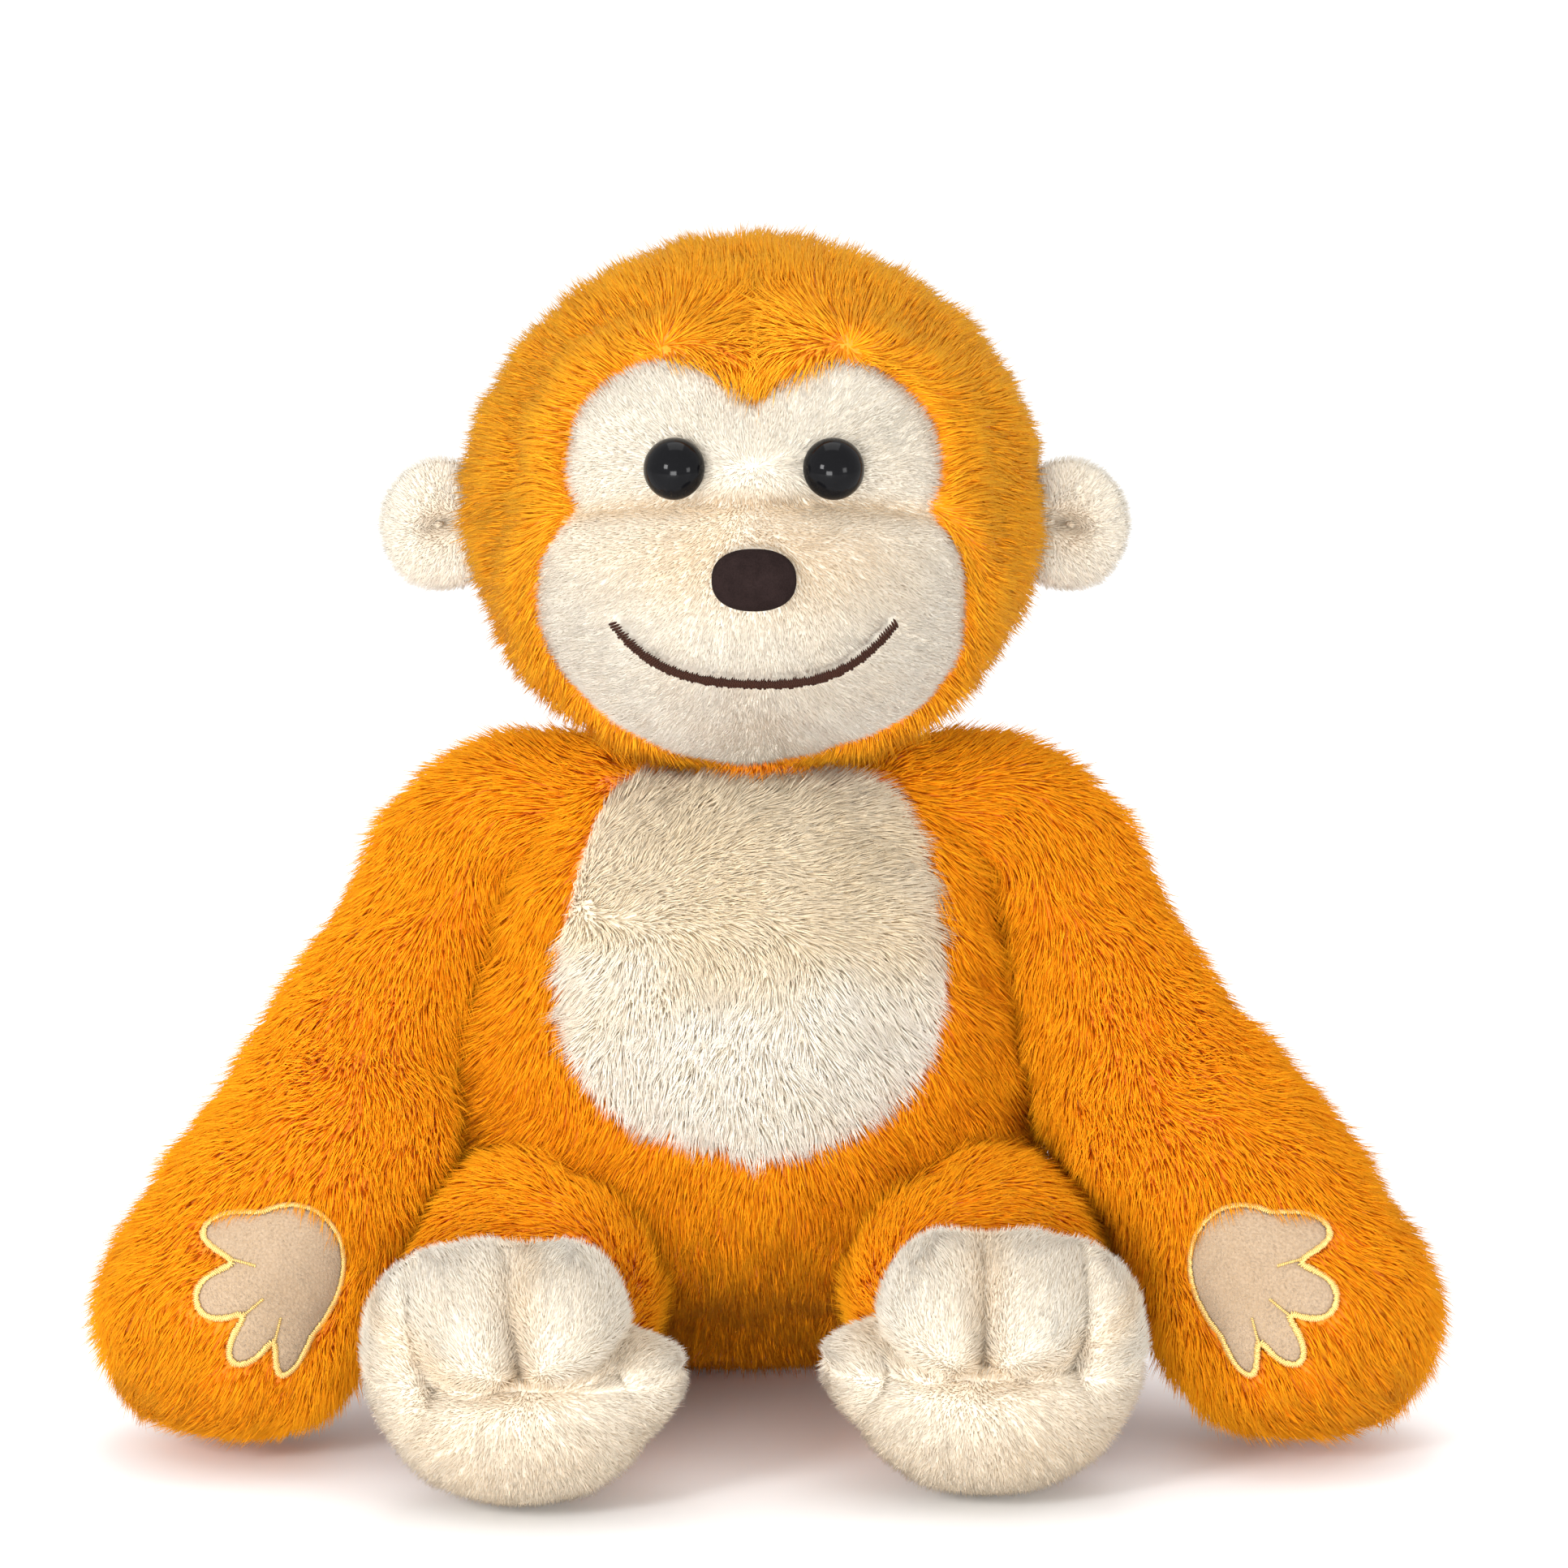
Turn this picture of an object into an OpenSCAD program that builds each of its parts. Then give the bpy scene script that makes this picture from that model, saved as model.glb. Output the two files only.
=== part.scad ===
// Seated plush monkey. Millimetres, +Z up, the toy faces -Y and its own left is +X.
// Every soft piece is a closed solid: fabric covers are shells, the stuffing lies inside them.

/* [Head] */
// Half width of the head
head_w = 73; // [70:1:75]
// Half depth of the head
head_d = 66; // [63:1:68]
// Half height of the head
head_h = 67; // [65:1:69]
// Height of the head's centre above the ground
head_z = 233; // [231:1:236]
// How far the muzzle stands out of the head
muzzle_out = 12; // [8:1:14]
// Diameter of the safety eyes
eye_d = 15; // [12:1:16]
// Width of the nose
nose_w = 21; // [18:1:23]
// Height of the nose
nose_h = 15; // [13:1:17]
// How far the ears stand out of the head
ear_out = 21; // [16:1:24]
// Height of an ear
ear_h = 35; // [28:1:38]

/* [Torso] */
// Half width of the belly
belly_w = 80; // [76:1:82]
// Half depth of the belly
belly_d = 59; // [56:1:60]
// Half width of the chest
chest_w = 64; // [60:1:66]

/* [Limbs] */
// Radius of the arm at the shoulder
arm_r = 21.5; // [20:0.5:23]
// Radius of the hand
hand_r = 35; // [32:0.5:36]
// Radius of the leg
leg_r = 29; // [27:0.5:30]
// Half width of the foot
foot_w = 42; // [39:1:43]
// Half height of the foot
foot_h = 35; // [33:1:36]

/* [Fabric] */
// Thickness of the fur fabric, backing and flattened pile together
fabric = 3; // [2:0.5:3.5]
// Gap between the fabric and the stuffing
ease = 0.1; // [0.05:0.05:0.3]

/* [Hidden] */
LEFT = 1;
RIGHT = -1;

// The torso's axis stands this far behind the middle of the whole toy
body_y = 33.7;

// Colours
orange_fur = [0.94, 0.6, 0.14];
cream_fur = [0.95, 0.9, 0.82];
palm_velour = [0.9, 0.83, 0.74];
gold_thread = [0.85, 0.68, 0.35];
brown_thread = [0.3, 0.18, 0.14];
black_plastic = [0.05, 0.05, 0.055];
nose_flock = [0.2, 0.16, 0.16];
white_plastic = [0.92, 0.92, 0.9];
fibre_fill = [0.97, 0.97, 0.96];
bag_cloth = [0.85, 0.85, 0.85];

// Head
head_c = [0, -2, head_z];
face_tilt = 9.4;               // the middle of the face looks this far up
eye_at = [19.9, 29.5];         // polar angle and bearing of an eye, seen from the face's middle
nose_at = [11.5, -90];
muzzle_low = 30;               // the muzzle's middle lies this far below the brow seam
muzzle_reach = [44, 27];       // its spread sideways and up and down
sight_r = 70;                  // turns directions on the face into millimetres
smile_w = 32.5;                // half width of the smile, its lowest point, and how far its corners rise
smile_low = -37.8;
smile_rise = 11.7;
washer_r = 6;
shank_r = 2.2;
shank_l = 12;
// Bearing and polar angle of the face's edge, one half of it
face_edge_points = [
    [-90, 66], [-70, 68], [-58, 68], [-48, 67], [-40, 65], [-33, 62], [-25, 56], [-18, 52.3], [-10, 47], [-3, 41.5],
    [3, 41.5], [9, 44], [18, 46.5], [28, 47.5], [38, 46.3], [51, 44], [61, 41], [73, 33], [90, 27]
];
head_cols = 32;
head_rows = 8;
face_rows = 6;

// Torso
torso_c = [0, 0, 92];
belly_tilt = 24;
// Bearing and polar angle of the belly panel's edge, one half of it
belly_edge_points = [
    [-90, 39.8], [-78, 37.8], [-58, 40.2], [-42, 43], [-28, 46], [-14, 47.3], [0, 48.8], [12, 50], [24, 50],
    [36, 50.5], [44, 52], [52, 55], [60, 54], [72, 47], [90, 42]
];
belly_z = 74;
belly_h = 80;
chest_c = [0, -1, 124];
chest_d = 47;
chest_h = 51;
blend_power = 12;              // how sharply the chest runs into the belly
seat_floor = 2.3;              // the cover's underside, on top of the seat panel
seat_back = 32;                // the underside is drawn back by this much, so that the toy sits on its rear
seat_rise = 62;                // below this height
seat_y = 30;                   // middle of the seat panel
seat_r = 26;
seat_t = 2;
bag_c = [0, 20, 12];
bag_r = 27;
bag_h = 22;

// Neck
neck_c = [0, 0, 168];
neck_ball_r = 15;
neck_ring_r = 21;
dish_bottom = 161.8;           // the torso's top is hollowed so that the head can nod
dish_r = 150;
thread_r = 0.8;

// Arm: its line from the shoulder to the hand, and its radius there
shoulder_c = [63, 3, 150];
elbow_c = [108, -20, 95];
hand_c = [134, -52, hand_r + 0.4];
elbow_ball = 18.5;
elbow_gap = 16;                // the upper arm's cover stops this far above the elbow
elbow_cut = 0.28;              // its end slopes back by this much on the inside of the bend
upper_line = [[71, 2, 151], [80, 0, 147], [93, -7, 126.5]];
upper_radii = [arm_r - 2, arm_r, arm_r + 0.5];
elbow_r = 22.5;
fore_line = [[118.5, -36, 69]];
fore_radii = [28];
arm_cols = 16;
ball_steps = 4;
shoulder_play = 0.6;
seam_groove = 50;              // the shoulder's seam thread lies this far round the ball from its inner end

// Leg and foot
hip_c = [50, -38, 40];
hip_play = 0.6;
hip_pinch = 5;                 // the leg narrows by this much where it meets the torso
ankle_c = [55, -82, 37];
ankle_ball = 21;
leg_end_gap = 12.5;
foot_c = [56, -105, foot_h + 0.3];
foot_d = 23;
toe_out = 4;
toe_spread = 11;
// Toes on the sole, outwards and up from the foot's middle
toes = [[-12, 18], [11, 19], [30, 17], [-34, 1]];
foot_cols = 22;
foot_rows = 13;

// Ear
ear_c = [head_w + 0.3, 4, head_z - 8];
ear_thick = 5;
ear_cols = 14;

// Palm
palm_dir = [-0.41, -0.79, 0.46];
palm_t = 1.2;
palm_gap = 0.5;
// Bearing and reach of the hand shape on the palm: heel, thumb and three fingers
palm_points = [
    [0, 15], [40, 15.5], [80, 17], [100, 17.5], [110, 20.5], [120, 24.5], [130, 26.5], [140, 25], [150, 14], [160, 17],
    [170, 23], [180, 25], [190, 25], [200, 22], [210, 13], [220, 24], [230, 27.5], [240, 24], [250, 14.5], [260, 27],
    [270, 25], [280, 20], [290, 16.5], [320, 15], [360, 15]
];
palm_cols = 36;

// ---------- vector and grid helpers ----------

function unit(v) = v / norm(v);
function mix(a, b, t) = a + (b - a) * t;
function joined(rows) = [for (r = rows) each r];
function reversed(list) = [for (i = [len(list) - 1:-1:0]) list[i]];
// Rows whose points run the other way round
function turned(rows) = [for (r = rows) reversed(r)];

// Two triangles of a quad, split along the same diagonal whichever way they face
function quad(a, b, c, d, flip) = flip ? [[c, b, a], [d, c, a]] : [[a, b, c], [a, c, d]];

// Triangles between the rows of a grid that starts at index base
function grid_faces(base, rows, cols, wrap, flip) = [
    for (i = [0:rows - 2], j = [0:cols - (wrap ? 1 : 2)])
        let (a = base + i * cols + j, b = base + i * cols + (j + 1) % cols, c = b + cols, d = a + cols)
        each quad(a, b, c, d, flip)
];

// Triangles from one point to a row
function fan_faces(tip, base, cols, wrap, flip) = [
    for (j = [0:cols - (wrap ? 1 : 2)])
        let (a = base + j, b = base + (j + 1) % cols)
        flip ? [tip, b, a] : [tip, a, b]
];

// Strip of triangles that joins a line of indices on the outside to one on the inside
function rim_faces(outer, inner, wrap, flip) = [
    for (j = [0:len(outer) - (wrap ? 1 : 2)])
        let (k = (j + 1) % len(outer))
        each quad(outer[j], outer[k], inner[k], inner[j], flip)
];

// A shell whose rows run from a closed tip to an open rim. Columns wrap round unless it is an open fan.
module tipped_shell(outer, inner, tip_out, tip_in, wrap = true) {
    rows = len(outer);
    cols = len(outer[0]);
    o = 2;
    n = 2 + rows * cols;
    last = (rows - 1) * cols;
    edge_a = concat([0], [for (i = [0:rows - 1]) o + i * cols]);
    edge_b = concat([0], [for (i = [0:rows - 1]) o + i * cols + cols - 1]);
    edge_a_in = concat([1], [for (i = [0:rows - 1]) n + i * cols]);
    edge_b_in = concat([1], [for (i = [0:rows - 1]) n + i * cols + cols - 1]);
    polyhedron(
        concat([tip_out, tip_in], joined(outer), joined(inner)),
        concat(
            fan_faces(0, o, cols, wrap, false),
            grid_faces(o, rows, cols, wrap, true),
            fan_faces(1, n, cols, wrap, true),
            grid_faces(n, rows, cols, wrap, false),
            rim_faces([for (j = [0:cols - 1]) o + last + j], [for (j = [0:cols - 1]) n + last + j], wrap, true),
            wrap ? [] : rim_faces(edge_a, edge_a_in, false, true),
            wrap ? [] : rim_faces(edge_b, edge_b_in, false, false)
        )
    );
}

// A solid lofted through closed rows, with a tip at each end
module loft(rows, tip_a, tip_b) {
    cols = len(rows[0]);
    last = 2 + (len(rows) - 1) * cols;
    polyhedron(
        concat([tip_a, tip_b], joined(rows)),
        concat(
            fan_faces(0, 2, cols, true, false),
            grid_faces(2, len(rows), cols, true, true),
            fan_faces(1, last, cols, true, true)
        )
    );
}

// Unit direction at polar angle a and bearing f round an axis that looks along -Y, tilted up
function polar(tilt, a, f) =
    [0, -cos(tilt), sin(tilt)] * cos(a) + ([1, 0, 0] * cos(f) + [0, sin(tilt), cos(tilt)] * sin(f)) * sin(a);

// Distance from p along the unit direction d to the far side of an ellipsoid
function ray_out(p, d, centre, half) =
    let (
        o = [for (i = [0:2]) (p[i] - centre[i]) / half[i]],
        q = [for (i = [0:2]) d[i] / half[i]],
        a = q * q,
        b = o * q
    )
    (sqrt(b * b - a * (o * o - 1)) - b) / a;

// A half outline is given for bearings from -90 to 90 and mirrored
function half_outline(points, f) = lookup(asin(sin(f)), points);

// Ring of points round a line, in the plane square to along
function ring(centre, along, r, cols, ref) =
    let (s = unit(cross(ref, along)), t = cross(along, s))
    [for (j = [0:cols - 1]) centre + (s * cos(j * 360 / cols) + t * sin(j * 360 / cols)) * r];

// Rings of a ball's cap about a direction, from near its tip to the given angle
function cap_rings(centre, dir, r, from, to, steps, cols, ref) = [
    for (i = [0:steps - 1])
        let (a = mix(from, to, i / (steps - 1)))
        ring(centre + dir * r * cos(a), -dir, r * sin(a), cols, ref)
];

// Tube of thread along a closed or open list of points
module thread(points, r, closed, sides = 5) {
    n = len(points);
    rows = [
        for (i = [0:n - 1])
            let (
                before = points[closed ? (i + n - 1) % n : max(i - 1, 0)],
                after = points[closed ? (i + 1) % n : min(i + 1, n - 1)]
            )
            ring(points[i], unit(after - before), r, sides, [0.13, 0.2, 0.97])
    ];
    if (closed)
        polyhedron(joined(rows), grid_faces_closed(n, sides));
    else
        loft(rows, points[0], points[n - 1]);
}

function grid_faces_closed(rows, cols) = [
    for (i = [0:rows - 1], j = [0:cols - 1])
        let (
            a = i * cols + j,
            b = i * cols + (j + 1) % cols,
            c = ((i + 1) % rows) * cols + (j + 1) % cols,
            d = ((i + 1) % rows) * cols + j
        )
        each quad(a, b, c, d, true)
];

// Puts a piece that is modelled on the left side on either side, and the torso's axis in its place
module on_side(side) {
    translate([0, body_y, 0])
        if (side == LEFT) children();
        else mirror([1, 0, 0]) children();
}

module placed() {
    translate([0, body_y, 0]) children();
}

// ---------- head ----------

function muzzle_bulge(d) =
    let (x = d[0] * sight_r, z = (d * polar(face_tilt, 90, 90)) * sight_r + muzzle_low)
    d * polar(face_tilt, 0, 0) > 0 ? muzzle_out * exp(-pow(x / muzzle_reach[0], 2) - pow(z / muzzle_reach[1], 2)) : 0;
function head_point(a, f, inset) =
    let (d = polar(face_tilt, a, f))
    head_c + d * (ray_out(head_c, d, head_c, [head_w, head_d, head_h]) + muzzle_bulge(d) - inset);
function face_edge(f) = half_outline(face_edge_points, f);

function hood_rows(inset) = [
    for (i = [1:head_rows])
        [for (j = [0:head_cols - 1])
            let (f = j * 360 / head_cols)
            head_point(mix(180, face_edge(f), i / head_rows), f, inset)]
];
function face_row(i, from, last, inset) = [
    for (j = [0:last])
        let (f = from + j * 360 / head_cols)
        head_point(face_edge(f) * i / face_rows, f, inset)
];
function face_rows_of(from, inset) = [for (i = [1:face_rows]) face_row(i, from, head_cols / 2, inset)];

// Hole that a shank passes through, square to the face
module along_face(at) {
    d = polar(face_tilt, at[0], at[1]);
    translate(head_point(at[0], at[1], 0))
        rotate([0, acos(d[2]), atan2(d[1], d[0])])
            children();
}

module shank_hole(at) {
    along_face(at) translate([0, 0, -shank_l - 6]) cylinder(r = shank_r + 0.1, h = shank_l + 12, $fn = 24);
}

module washer_room(at) {
    along_face(at) translate([0, 0, -fabric - 5.2]) cylinder(r = washer_r + 0.2, h = 8, $fn = 32);
}

module head_cover() {
    color(orange_fur) placed()
        difference() {
            tipped_shell(hood_rows(0), hood_rows(fabric), head_point(180, 0, 0), head_point(180, 0, fabric));
            translate(neck_c) sphere(r = neck_ball_r + 2, $fn = 48);
        }
}

// Half of the face, from the given bearing to the opposite one
module face_panel(from) {
    tipped_shell(
        turned(face_rows_of(from, 0)), turned(face_rows_of(from, fabric)), head_point(0, 0, 0),
        head_point(0, 0, fabric), false
    );
}

module brow_panel() {
    color(cream_fur) placed()
        difference() {
            face_panel(0);
            shank_hole(eye_at);
            shank_hole([eye_at[0], 180 - eye_at[1]]);
        }
}

module muzzle_panel() {
    color(cream_fur) placed()
        difference() {
            face_panel(180);
            shank_hole(nose_at);
        }
}

module head_filling() {
    inset = fabric + ease;
    rows = concat(
        hood_rows(inset),
        [for (i = [face_rows - 1:-1:1]) face_row(i, 0, head_cols - 1, inset)]
    );
    color(fibre_fill) placed()
        difference() {
            loft(rows, head_point(180, 0, inset), head_point(0, 0, inset));
            for (at = [eye_at, [eye_at[0], 180 - eye_at[1]], nose_at]) {
                shank_hole(at);
                washer_room(at);
            }
            translate(neck_c) sphere(r = neck_ball_r + 0.5, $fn = 48);
        }
}

// Domed button eye on a shank
module eye(bearing) {
    color(black_plastic) placed()
        along_face([eye_at[0], bearing]) {
            translate([0, 0, 0.6]) intersection() {
                translate([0, 0, -0.5]) sphere(d = eye_d, $fn = 48);
                cylinder(d = eye_d + 2, h = eye_d, $fn = 48);
            }
            translate([0, 0, -shank_l]) cylinder(r = shank_r, h = shank_l + 1, $fn = 24);
        }
}

// Lock washer that holds a shank behind the fabric
module washer(at) {
    color(white_plastic) placed()
        along_face(at) translate([0, 0, -fabric - 4.6]) difference() {
            cylinder(r = washer_r, h = 1.6, $fn = 32);
            translate([0, 0, -1]) cylinder(r = shank_r + 0.02, h = 4, $fn = 24);
        }
}

// Flocked nose: an oval dome on a shank
module nose() {
    color(nose_flock) placed()
        along_face(nose_at) {
            translate([0, 0, 0.8]) rotate([0, 0, 90]) resize([nose_w, nose_h, 7]) intersection() {
                sphere(d = nose_w, $fn = 28);
                cylinder(d = nose_w + 2, h = nose_w, $fn = 28);
            }
            translate([0, 0, -shank_l]) cylinder(r = shank_r, h = shank_l + 2, $fn = 24);
        }
}

// Smile: an arc of satin stitch on the muzzle, from cheek to cheek
module smile_thread() {
    points = [
        for (i = [0:20])
            let (x = mix(-smile_w, smile_w, i / 20), z = smile_low + smile_rise * pow(abs(x) / smile_w, 3))
            head_point(asin(norm([x, z]) / sight_r), atan2(z, x), -1.1)
    ];
    color(brown_thread) placed() thread(points, 0.9, false, 6);
}

// ---------- ears ----------

// The ear is two leaves sewn round their edge. facing is -1 for the front leaf and 1 for the back one.
// Distance from the head, share of the ear's height and of its thickness there
ear_profile = [[0, 0.62, 0.2], [0.2, 0.8, 0.6], [0.45, 0.98, 0.95], [0.7, 0.9, 1], [0.88, 0.66, 0.75], [0.97, 0.36, 0.4]];

module ear_leaf(side, facing, colour) {
    function leaf_ring(p) = concat(
        [for (k = [0:8]) let (a = k * 22.5) ear_c + [
            p[0] * ear_out, facing * (0.05 + p[2] * ear_thick * sin(a)), -facing * p[1] * ear_h / 2 * cos(a)
        ]],
        [for (k = [1:4]) ear_c + [p[0] * ear_out, facing * 0.05, facing * p[1] * ear_h / 2 * (1 - k * 0.4)]]
    );
    color(colour) on_side(side)
        loft(
            [for (p = ear_profile) leaf_ring(p)], ear_c + [0, facing * 0.3, 0], ear_c + [ear_out, facing * 0.3, 0]
        );
}

// ---------- torso ----------

function torso_reach(d) =
    let (
        low = ray_out(torso_c, d, [0, 0, belly_z], [belly_w, belly_d, belly_h]),
        high = ray_out(torso_c, d, chest_c, [chest_w, chest_d, chest_h])
    )
    pow(pow(low, blend_power) + pow(high, blend_power), 1 / blend_power);
function torso_point(a, f, inset) =
    let (
        d = polar(belly_tilt, a, f),
        r = torso_reach(d) - inset,
        p = torso_c + d * r,
        floor_z = seat_floor + inset,
        q = p[2] < floor_z ? torso_c + d * (floor_z - torso_c[2]) / d[2] : p
    )
    q + [0, seat_back * pow(max(seat_rise - q[2], 0) / seat_rise, 2), 0];
function belly_edge(f) = half_outline(belly_edge_points, f);
function torso_cover_rows(inset) = [
    for (i = [1:10])
        [for (j = [0:head_cols - 1])
            let (f = j * 360 / head_cols)
            torso_point(mix(180, belly_edge(f), i / 10), f, inset)]
];
function belly_rows(inset) = [
    for (i = [1:4])
        [for (j = [0:head_cols - 1])
            let (f = j * 360 / head_cols)
            torso_point(belly_edge(f) * i / 4, f, inset)]
];

// Room for the head, the arms and the legs to move in
module torso_sockets(more) {
    translate([0, head_c[1], dish_bottom + dish_r]) sphere(r = dish_r + more, $fn = 160);
    translate(neck_c) sphere(r = neck_ball_r + 0.5 + more, $fn = 48);
    neck_ring(thread_r + 0.3 + more);
    for (s = [0, 1]) mirror([s, 0, 0]) {
        translate(shoulder_c) sphere(r = arm_r + shoulder_play + more, $fn = 48);
        shoulder_seam(thread_r + 0.3 + more);
        translate(hip_c) sphere(r = leg_r + hip_play + more, $fn = 64);
    }
}

// Ring round the shoulder's ball, in the seam between the arm and the torso
module shoulder_seam(r) {
    reach = arm_r + 0.3 + thread_r;
    translate(shoulder_c - [reach * cos(seam_groove), 0, 0])
        rotate([0, 90, 0])
            rotate_extrude($fn = 64) translate([reach * sin(seam_groove), 0]) circle(r = r, $fn = 16);
}

module torso_cover() {
    color(orange_fur) placed()
        difference() {
            tipped_shell(torso_cover_rows(0), torso_cover_rows(fabric), torso_point(180, 0, 0), torso_point(180, 0, fabric));
            torso_sockets(0);
        }
}

module belly_panel() {
    color(cream_fur) placed()
        difference() {
            tipped_shell(
                turned(belly_rows(0)), turned(belly_rows(fabric)), torso_point(0, 0, 0), torso_point(0, 0, fabric)
            );
            torso_sockets(0);
        }
}

// Flat disc of fabric that the toy sits on
module seat_panel() {
    color(orange_fur) placed() translate([0, seat_y, 0]) cylinder(r = seat_r, h = seat_t, $fn = 64);
}

module torso_filling() {
    inset = fabric + ease;
    belly = reversed(belly_rows(inset));
    rows = concat(torso_cover_rows(inset), [for (i = [1:len(belly) - 1]) belly[i]]);
    color(fibre_fill) placed()
        difference() {
            loft(rows, torso_point(180, 0, inset), torso_point(0, 0, inset));
            torso_sockets(ease);
            bag_shape(0.2);
        }
}

// Round pillow of pellets
module bag_shape(more) {
    translate(bag_c) rotate_extrude($fn = 64)
        polygon(concat(
            [[0, -more], [bag_r - 9, -more]],
            [for (a = [-60:30:60]) [bag_r - 8 + (8 + more) * cos(a), bag_h / 2 + (bag_h / 2 + more) * sin(a)]],
            [[bag_r - 9, bag_h + more], [0, bag_h + more]]
        ));
}

module seat_bean_bag() {
    color(bag_cloth) placed() bag_shape(0);
}

// Hand-sewn ladder stitches that close the back
module back_closing_stitches() {
    color(orange_fur) placed()
        for (i = [0:7])
            let (p = torso_point(150 - i * 5, 90, -0.75), q = torso_point(147.5 - i * 5, 90, -0.75))
            translate(p) rotate([0, acos((q - p)[2] / norm(q - p)), atan2((q - p)[1], (q - p)[0])])
                cylinder(r = 0.5, h = norm(q - p), $fn = 16);
}

// ---------- neck ----------

module neck_ring(r) {
    translate([0, 0, dish_bottom + thread_r])
        rotate_extrude($fn = 64) translate([neck_ring_r, 0]) circle(r = r, $fn = 16);
}

module neck_seam_thread() {
    color(orange_fur) placed()
        neck_ring(thread_r);
}

module neck_filling() {
    color(fibre_fill) placed() translate(neck_c) sphere(r = neck_ball_r, $fn = 48);
}

// ---------- arms ----------

arm_ref = [0, 1, 0];
upper_dir = unit(elbow_c - upper_line[2]);
bend_side = unit(cross(upper_dir, [1, 0, 0]));
upper_end = elbow_c - upper_dir * elbow_gap;
shoulder_dir = unit(upper_line[0] - shoulder_c);
fore_dir = unit(fore_line[0] - elbow_c);
hand_dir = unit(hand_c - fore_line[0]);

function upper_rows(inset) = concat(
    cap_rings(shoulder_c, -shoulder_dir, arm_r - inset, 25, 90, ball_steps, arm_cols, arm_ref),
    [
        ring(upper_line[0], unit(upper_line[1] - shoulder_c), upper_radii[0] - inset, arm_cols, arm_ref),
        ring(upper_line[1], unit(upper_line[2] - upper_line[0]), upper_radii[1] - inset, arm_cols, arm_ref),
        ring(upper_line[2], unit(upper_end - upper_line[1]), upper_radii[2] - inset, arm_cols, arm_ref),
        ring(upper_end, unit(upper_dir + bend_side * elbow_cut), elbow_r - 0.5 - inset, arm_cols, arm_ref)
    ]
);

// The covers are lofts with their inside taken out through the end that meets the next piece
module upper_arm_cover(side) {
    color(orange_fur) on_side(side)
        tube_shell(upper_rows(0), upper_rows(fabric));
}

module upper_arm_filling(side) {
    inset = fabric + ease;
    rows = upper_rows(inset);
    end = len(rows) - 1;
    last = [for (j = [0:arm_cols - 1]) mix(rows[end - 1][j], rows[end][j], 0.6)];
    color(fibre_fill) on_side(side)
        loft(
            concat([for (i = [0:end - 1]) rows[i]], [last]),
            shoulder_c - shoulder_dir * (arm_r - inset) * cos(25),
            (last[0] + last[arm_cols / 2]) / 2
        );
}

// A tube of fabric that is open at both ends
module tube_shell(outer, inner) {
    rows = len(outer);
    cols = len(outer[0]);
    n = rows * cols;
    last = (rows - 1) * cols;
    polyhedron(
        concat(joined(outer), joined(inner)),
        concat(
            grid_faces(0, rows, cols, true, true),
            grid_faces(n, rows, cols, true, false),
            rim_faces([for (j = [0:cols - 1]) j], [for (j = [0:cols - 1]) n + j], true, false),
            rim_faces([for (j = [0:cols - 1]) last + j], [for (j = [0:cols - 1]) n + last + j], true, true)
        )
    );
}

function fore_rows(inset) = concat(
    cap_rings(elbow_c, -fore_dir, elbow_ball - inset, 25, 88, ball_steps, arm_cols, arm_ref),
    [
        ring(elbow_c + fore_dir * 6, fore_dir, elbow_r - inset, arm_cols, arm_ref),
        ring(fore_line[0], unit(hand_c - elbow_c), fore_radii[0] - inset, arm_cols, arm_ref),
        ring(mix(fore_line[0], hand_c, 0.5), hand_dir, mix(fore_radii[0], hand_r, 0.62) - inset, arm_cols, arm_ref)
    ],
    [for (a = [90, 68, 46, 24]) ring(hand_c + hand_dir * (hand_r - inset) * cos(a), hand_dir, (hand_r - inset) * sin(a), arm_cols, arm_ref)]
);
function fore_tip(inset) = hand_c + hand_dir * (hand_r - inset);

module forearm_cover(side) {
    color(orange_fur) on_side(side)
        tipped_shell(
            turned(reversed(fore_rows(0))), turned(reversed(fore_rows(fabric))), fore_tip(0), fore_tip(fabric)
        );
}

module forearm_filling(side) {
    inset = fabric + ease;
    color(fibre_fill) on_side(side)
        loft(fore_rows(inset), elbow_c - fore_dir * (elbow_ball - inset) * cos(25), fore_tip(inset));
}

module shoulder_thread(side) {
    color(orange_fur) on_side(side) shoulder_seam(thread_r);
}

// ---------- palm ----------

palm_n = unit(palm_dir);
palm_u = unit(cross(palm_n, [0, 0, 1]));
palm_v = cross(palm_u, palm_n);

// Distance from the hand's centre to its cover: a ball that runs on into the forearm
function hand_reach(d) =
    let (c = -(d * hand_dir), s = sqrt(1 - c * c), near = hand_r / (s + 0.15 * c))
    c < 0 ? hand_r : near * c < 20 ? near : (hand_r + 2) / (s + 0.25 * c);
function palm_point(reach, f, lift) =
    let (a = reach / hand_r * 180 / PI, d = palm_n * cos(a) + (palm_u * cos(f) + palm_v * sin(f)) * sin(a))
    hand_c + d * (hand_reach(d) + palm_gap + lift);
function palm_rows(lift) = [
    for (t = [0.4, 0.75, 1])
        [for (j = [0:palm_cols - 1]) palm_point(lookup(j * 360 / palm_cols, palm_points) * t, j * 360 / palm_cols, lift)]
];

module palm_patch(side) {
    color(palm_velour) on_side(side)
        tipped_shell(palm_rows(palm_t), palm_rows(0), palm_point(0, 0, palm_t), palm_point(0, 0, 0));
}

module palm_edging(side) {
    points = [
        for (j = [0:palm_cols - 1])
            palm_point(lookup(j * 360 / palm_cols, palm_points) - 0.4, j * 360 / palm_cols, palm_t + thread_r + 0.25)
    ];
    color(gold_thread) on_side(side) thread(points, thread_r, true);
}

// ---------- legs and feet ----------

leg_ref = [0, 0, 1];
leg_dir = unit(ankle_c - hip_c);
leg_stop = ankle_c - leg_dir * leg_end_gap;

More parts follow.
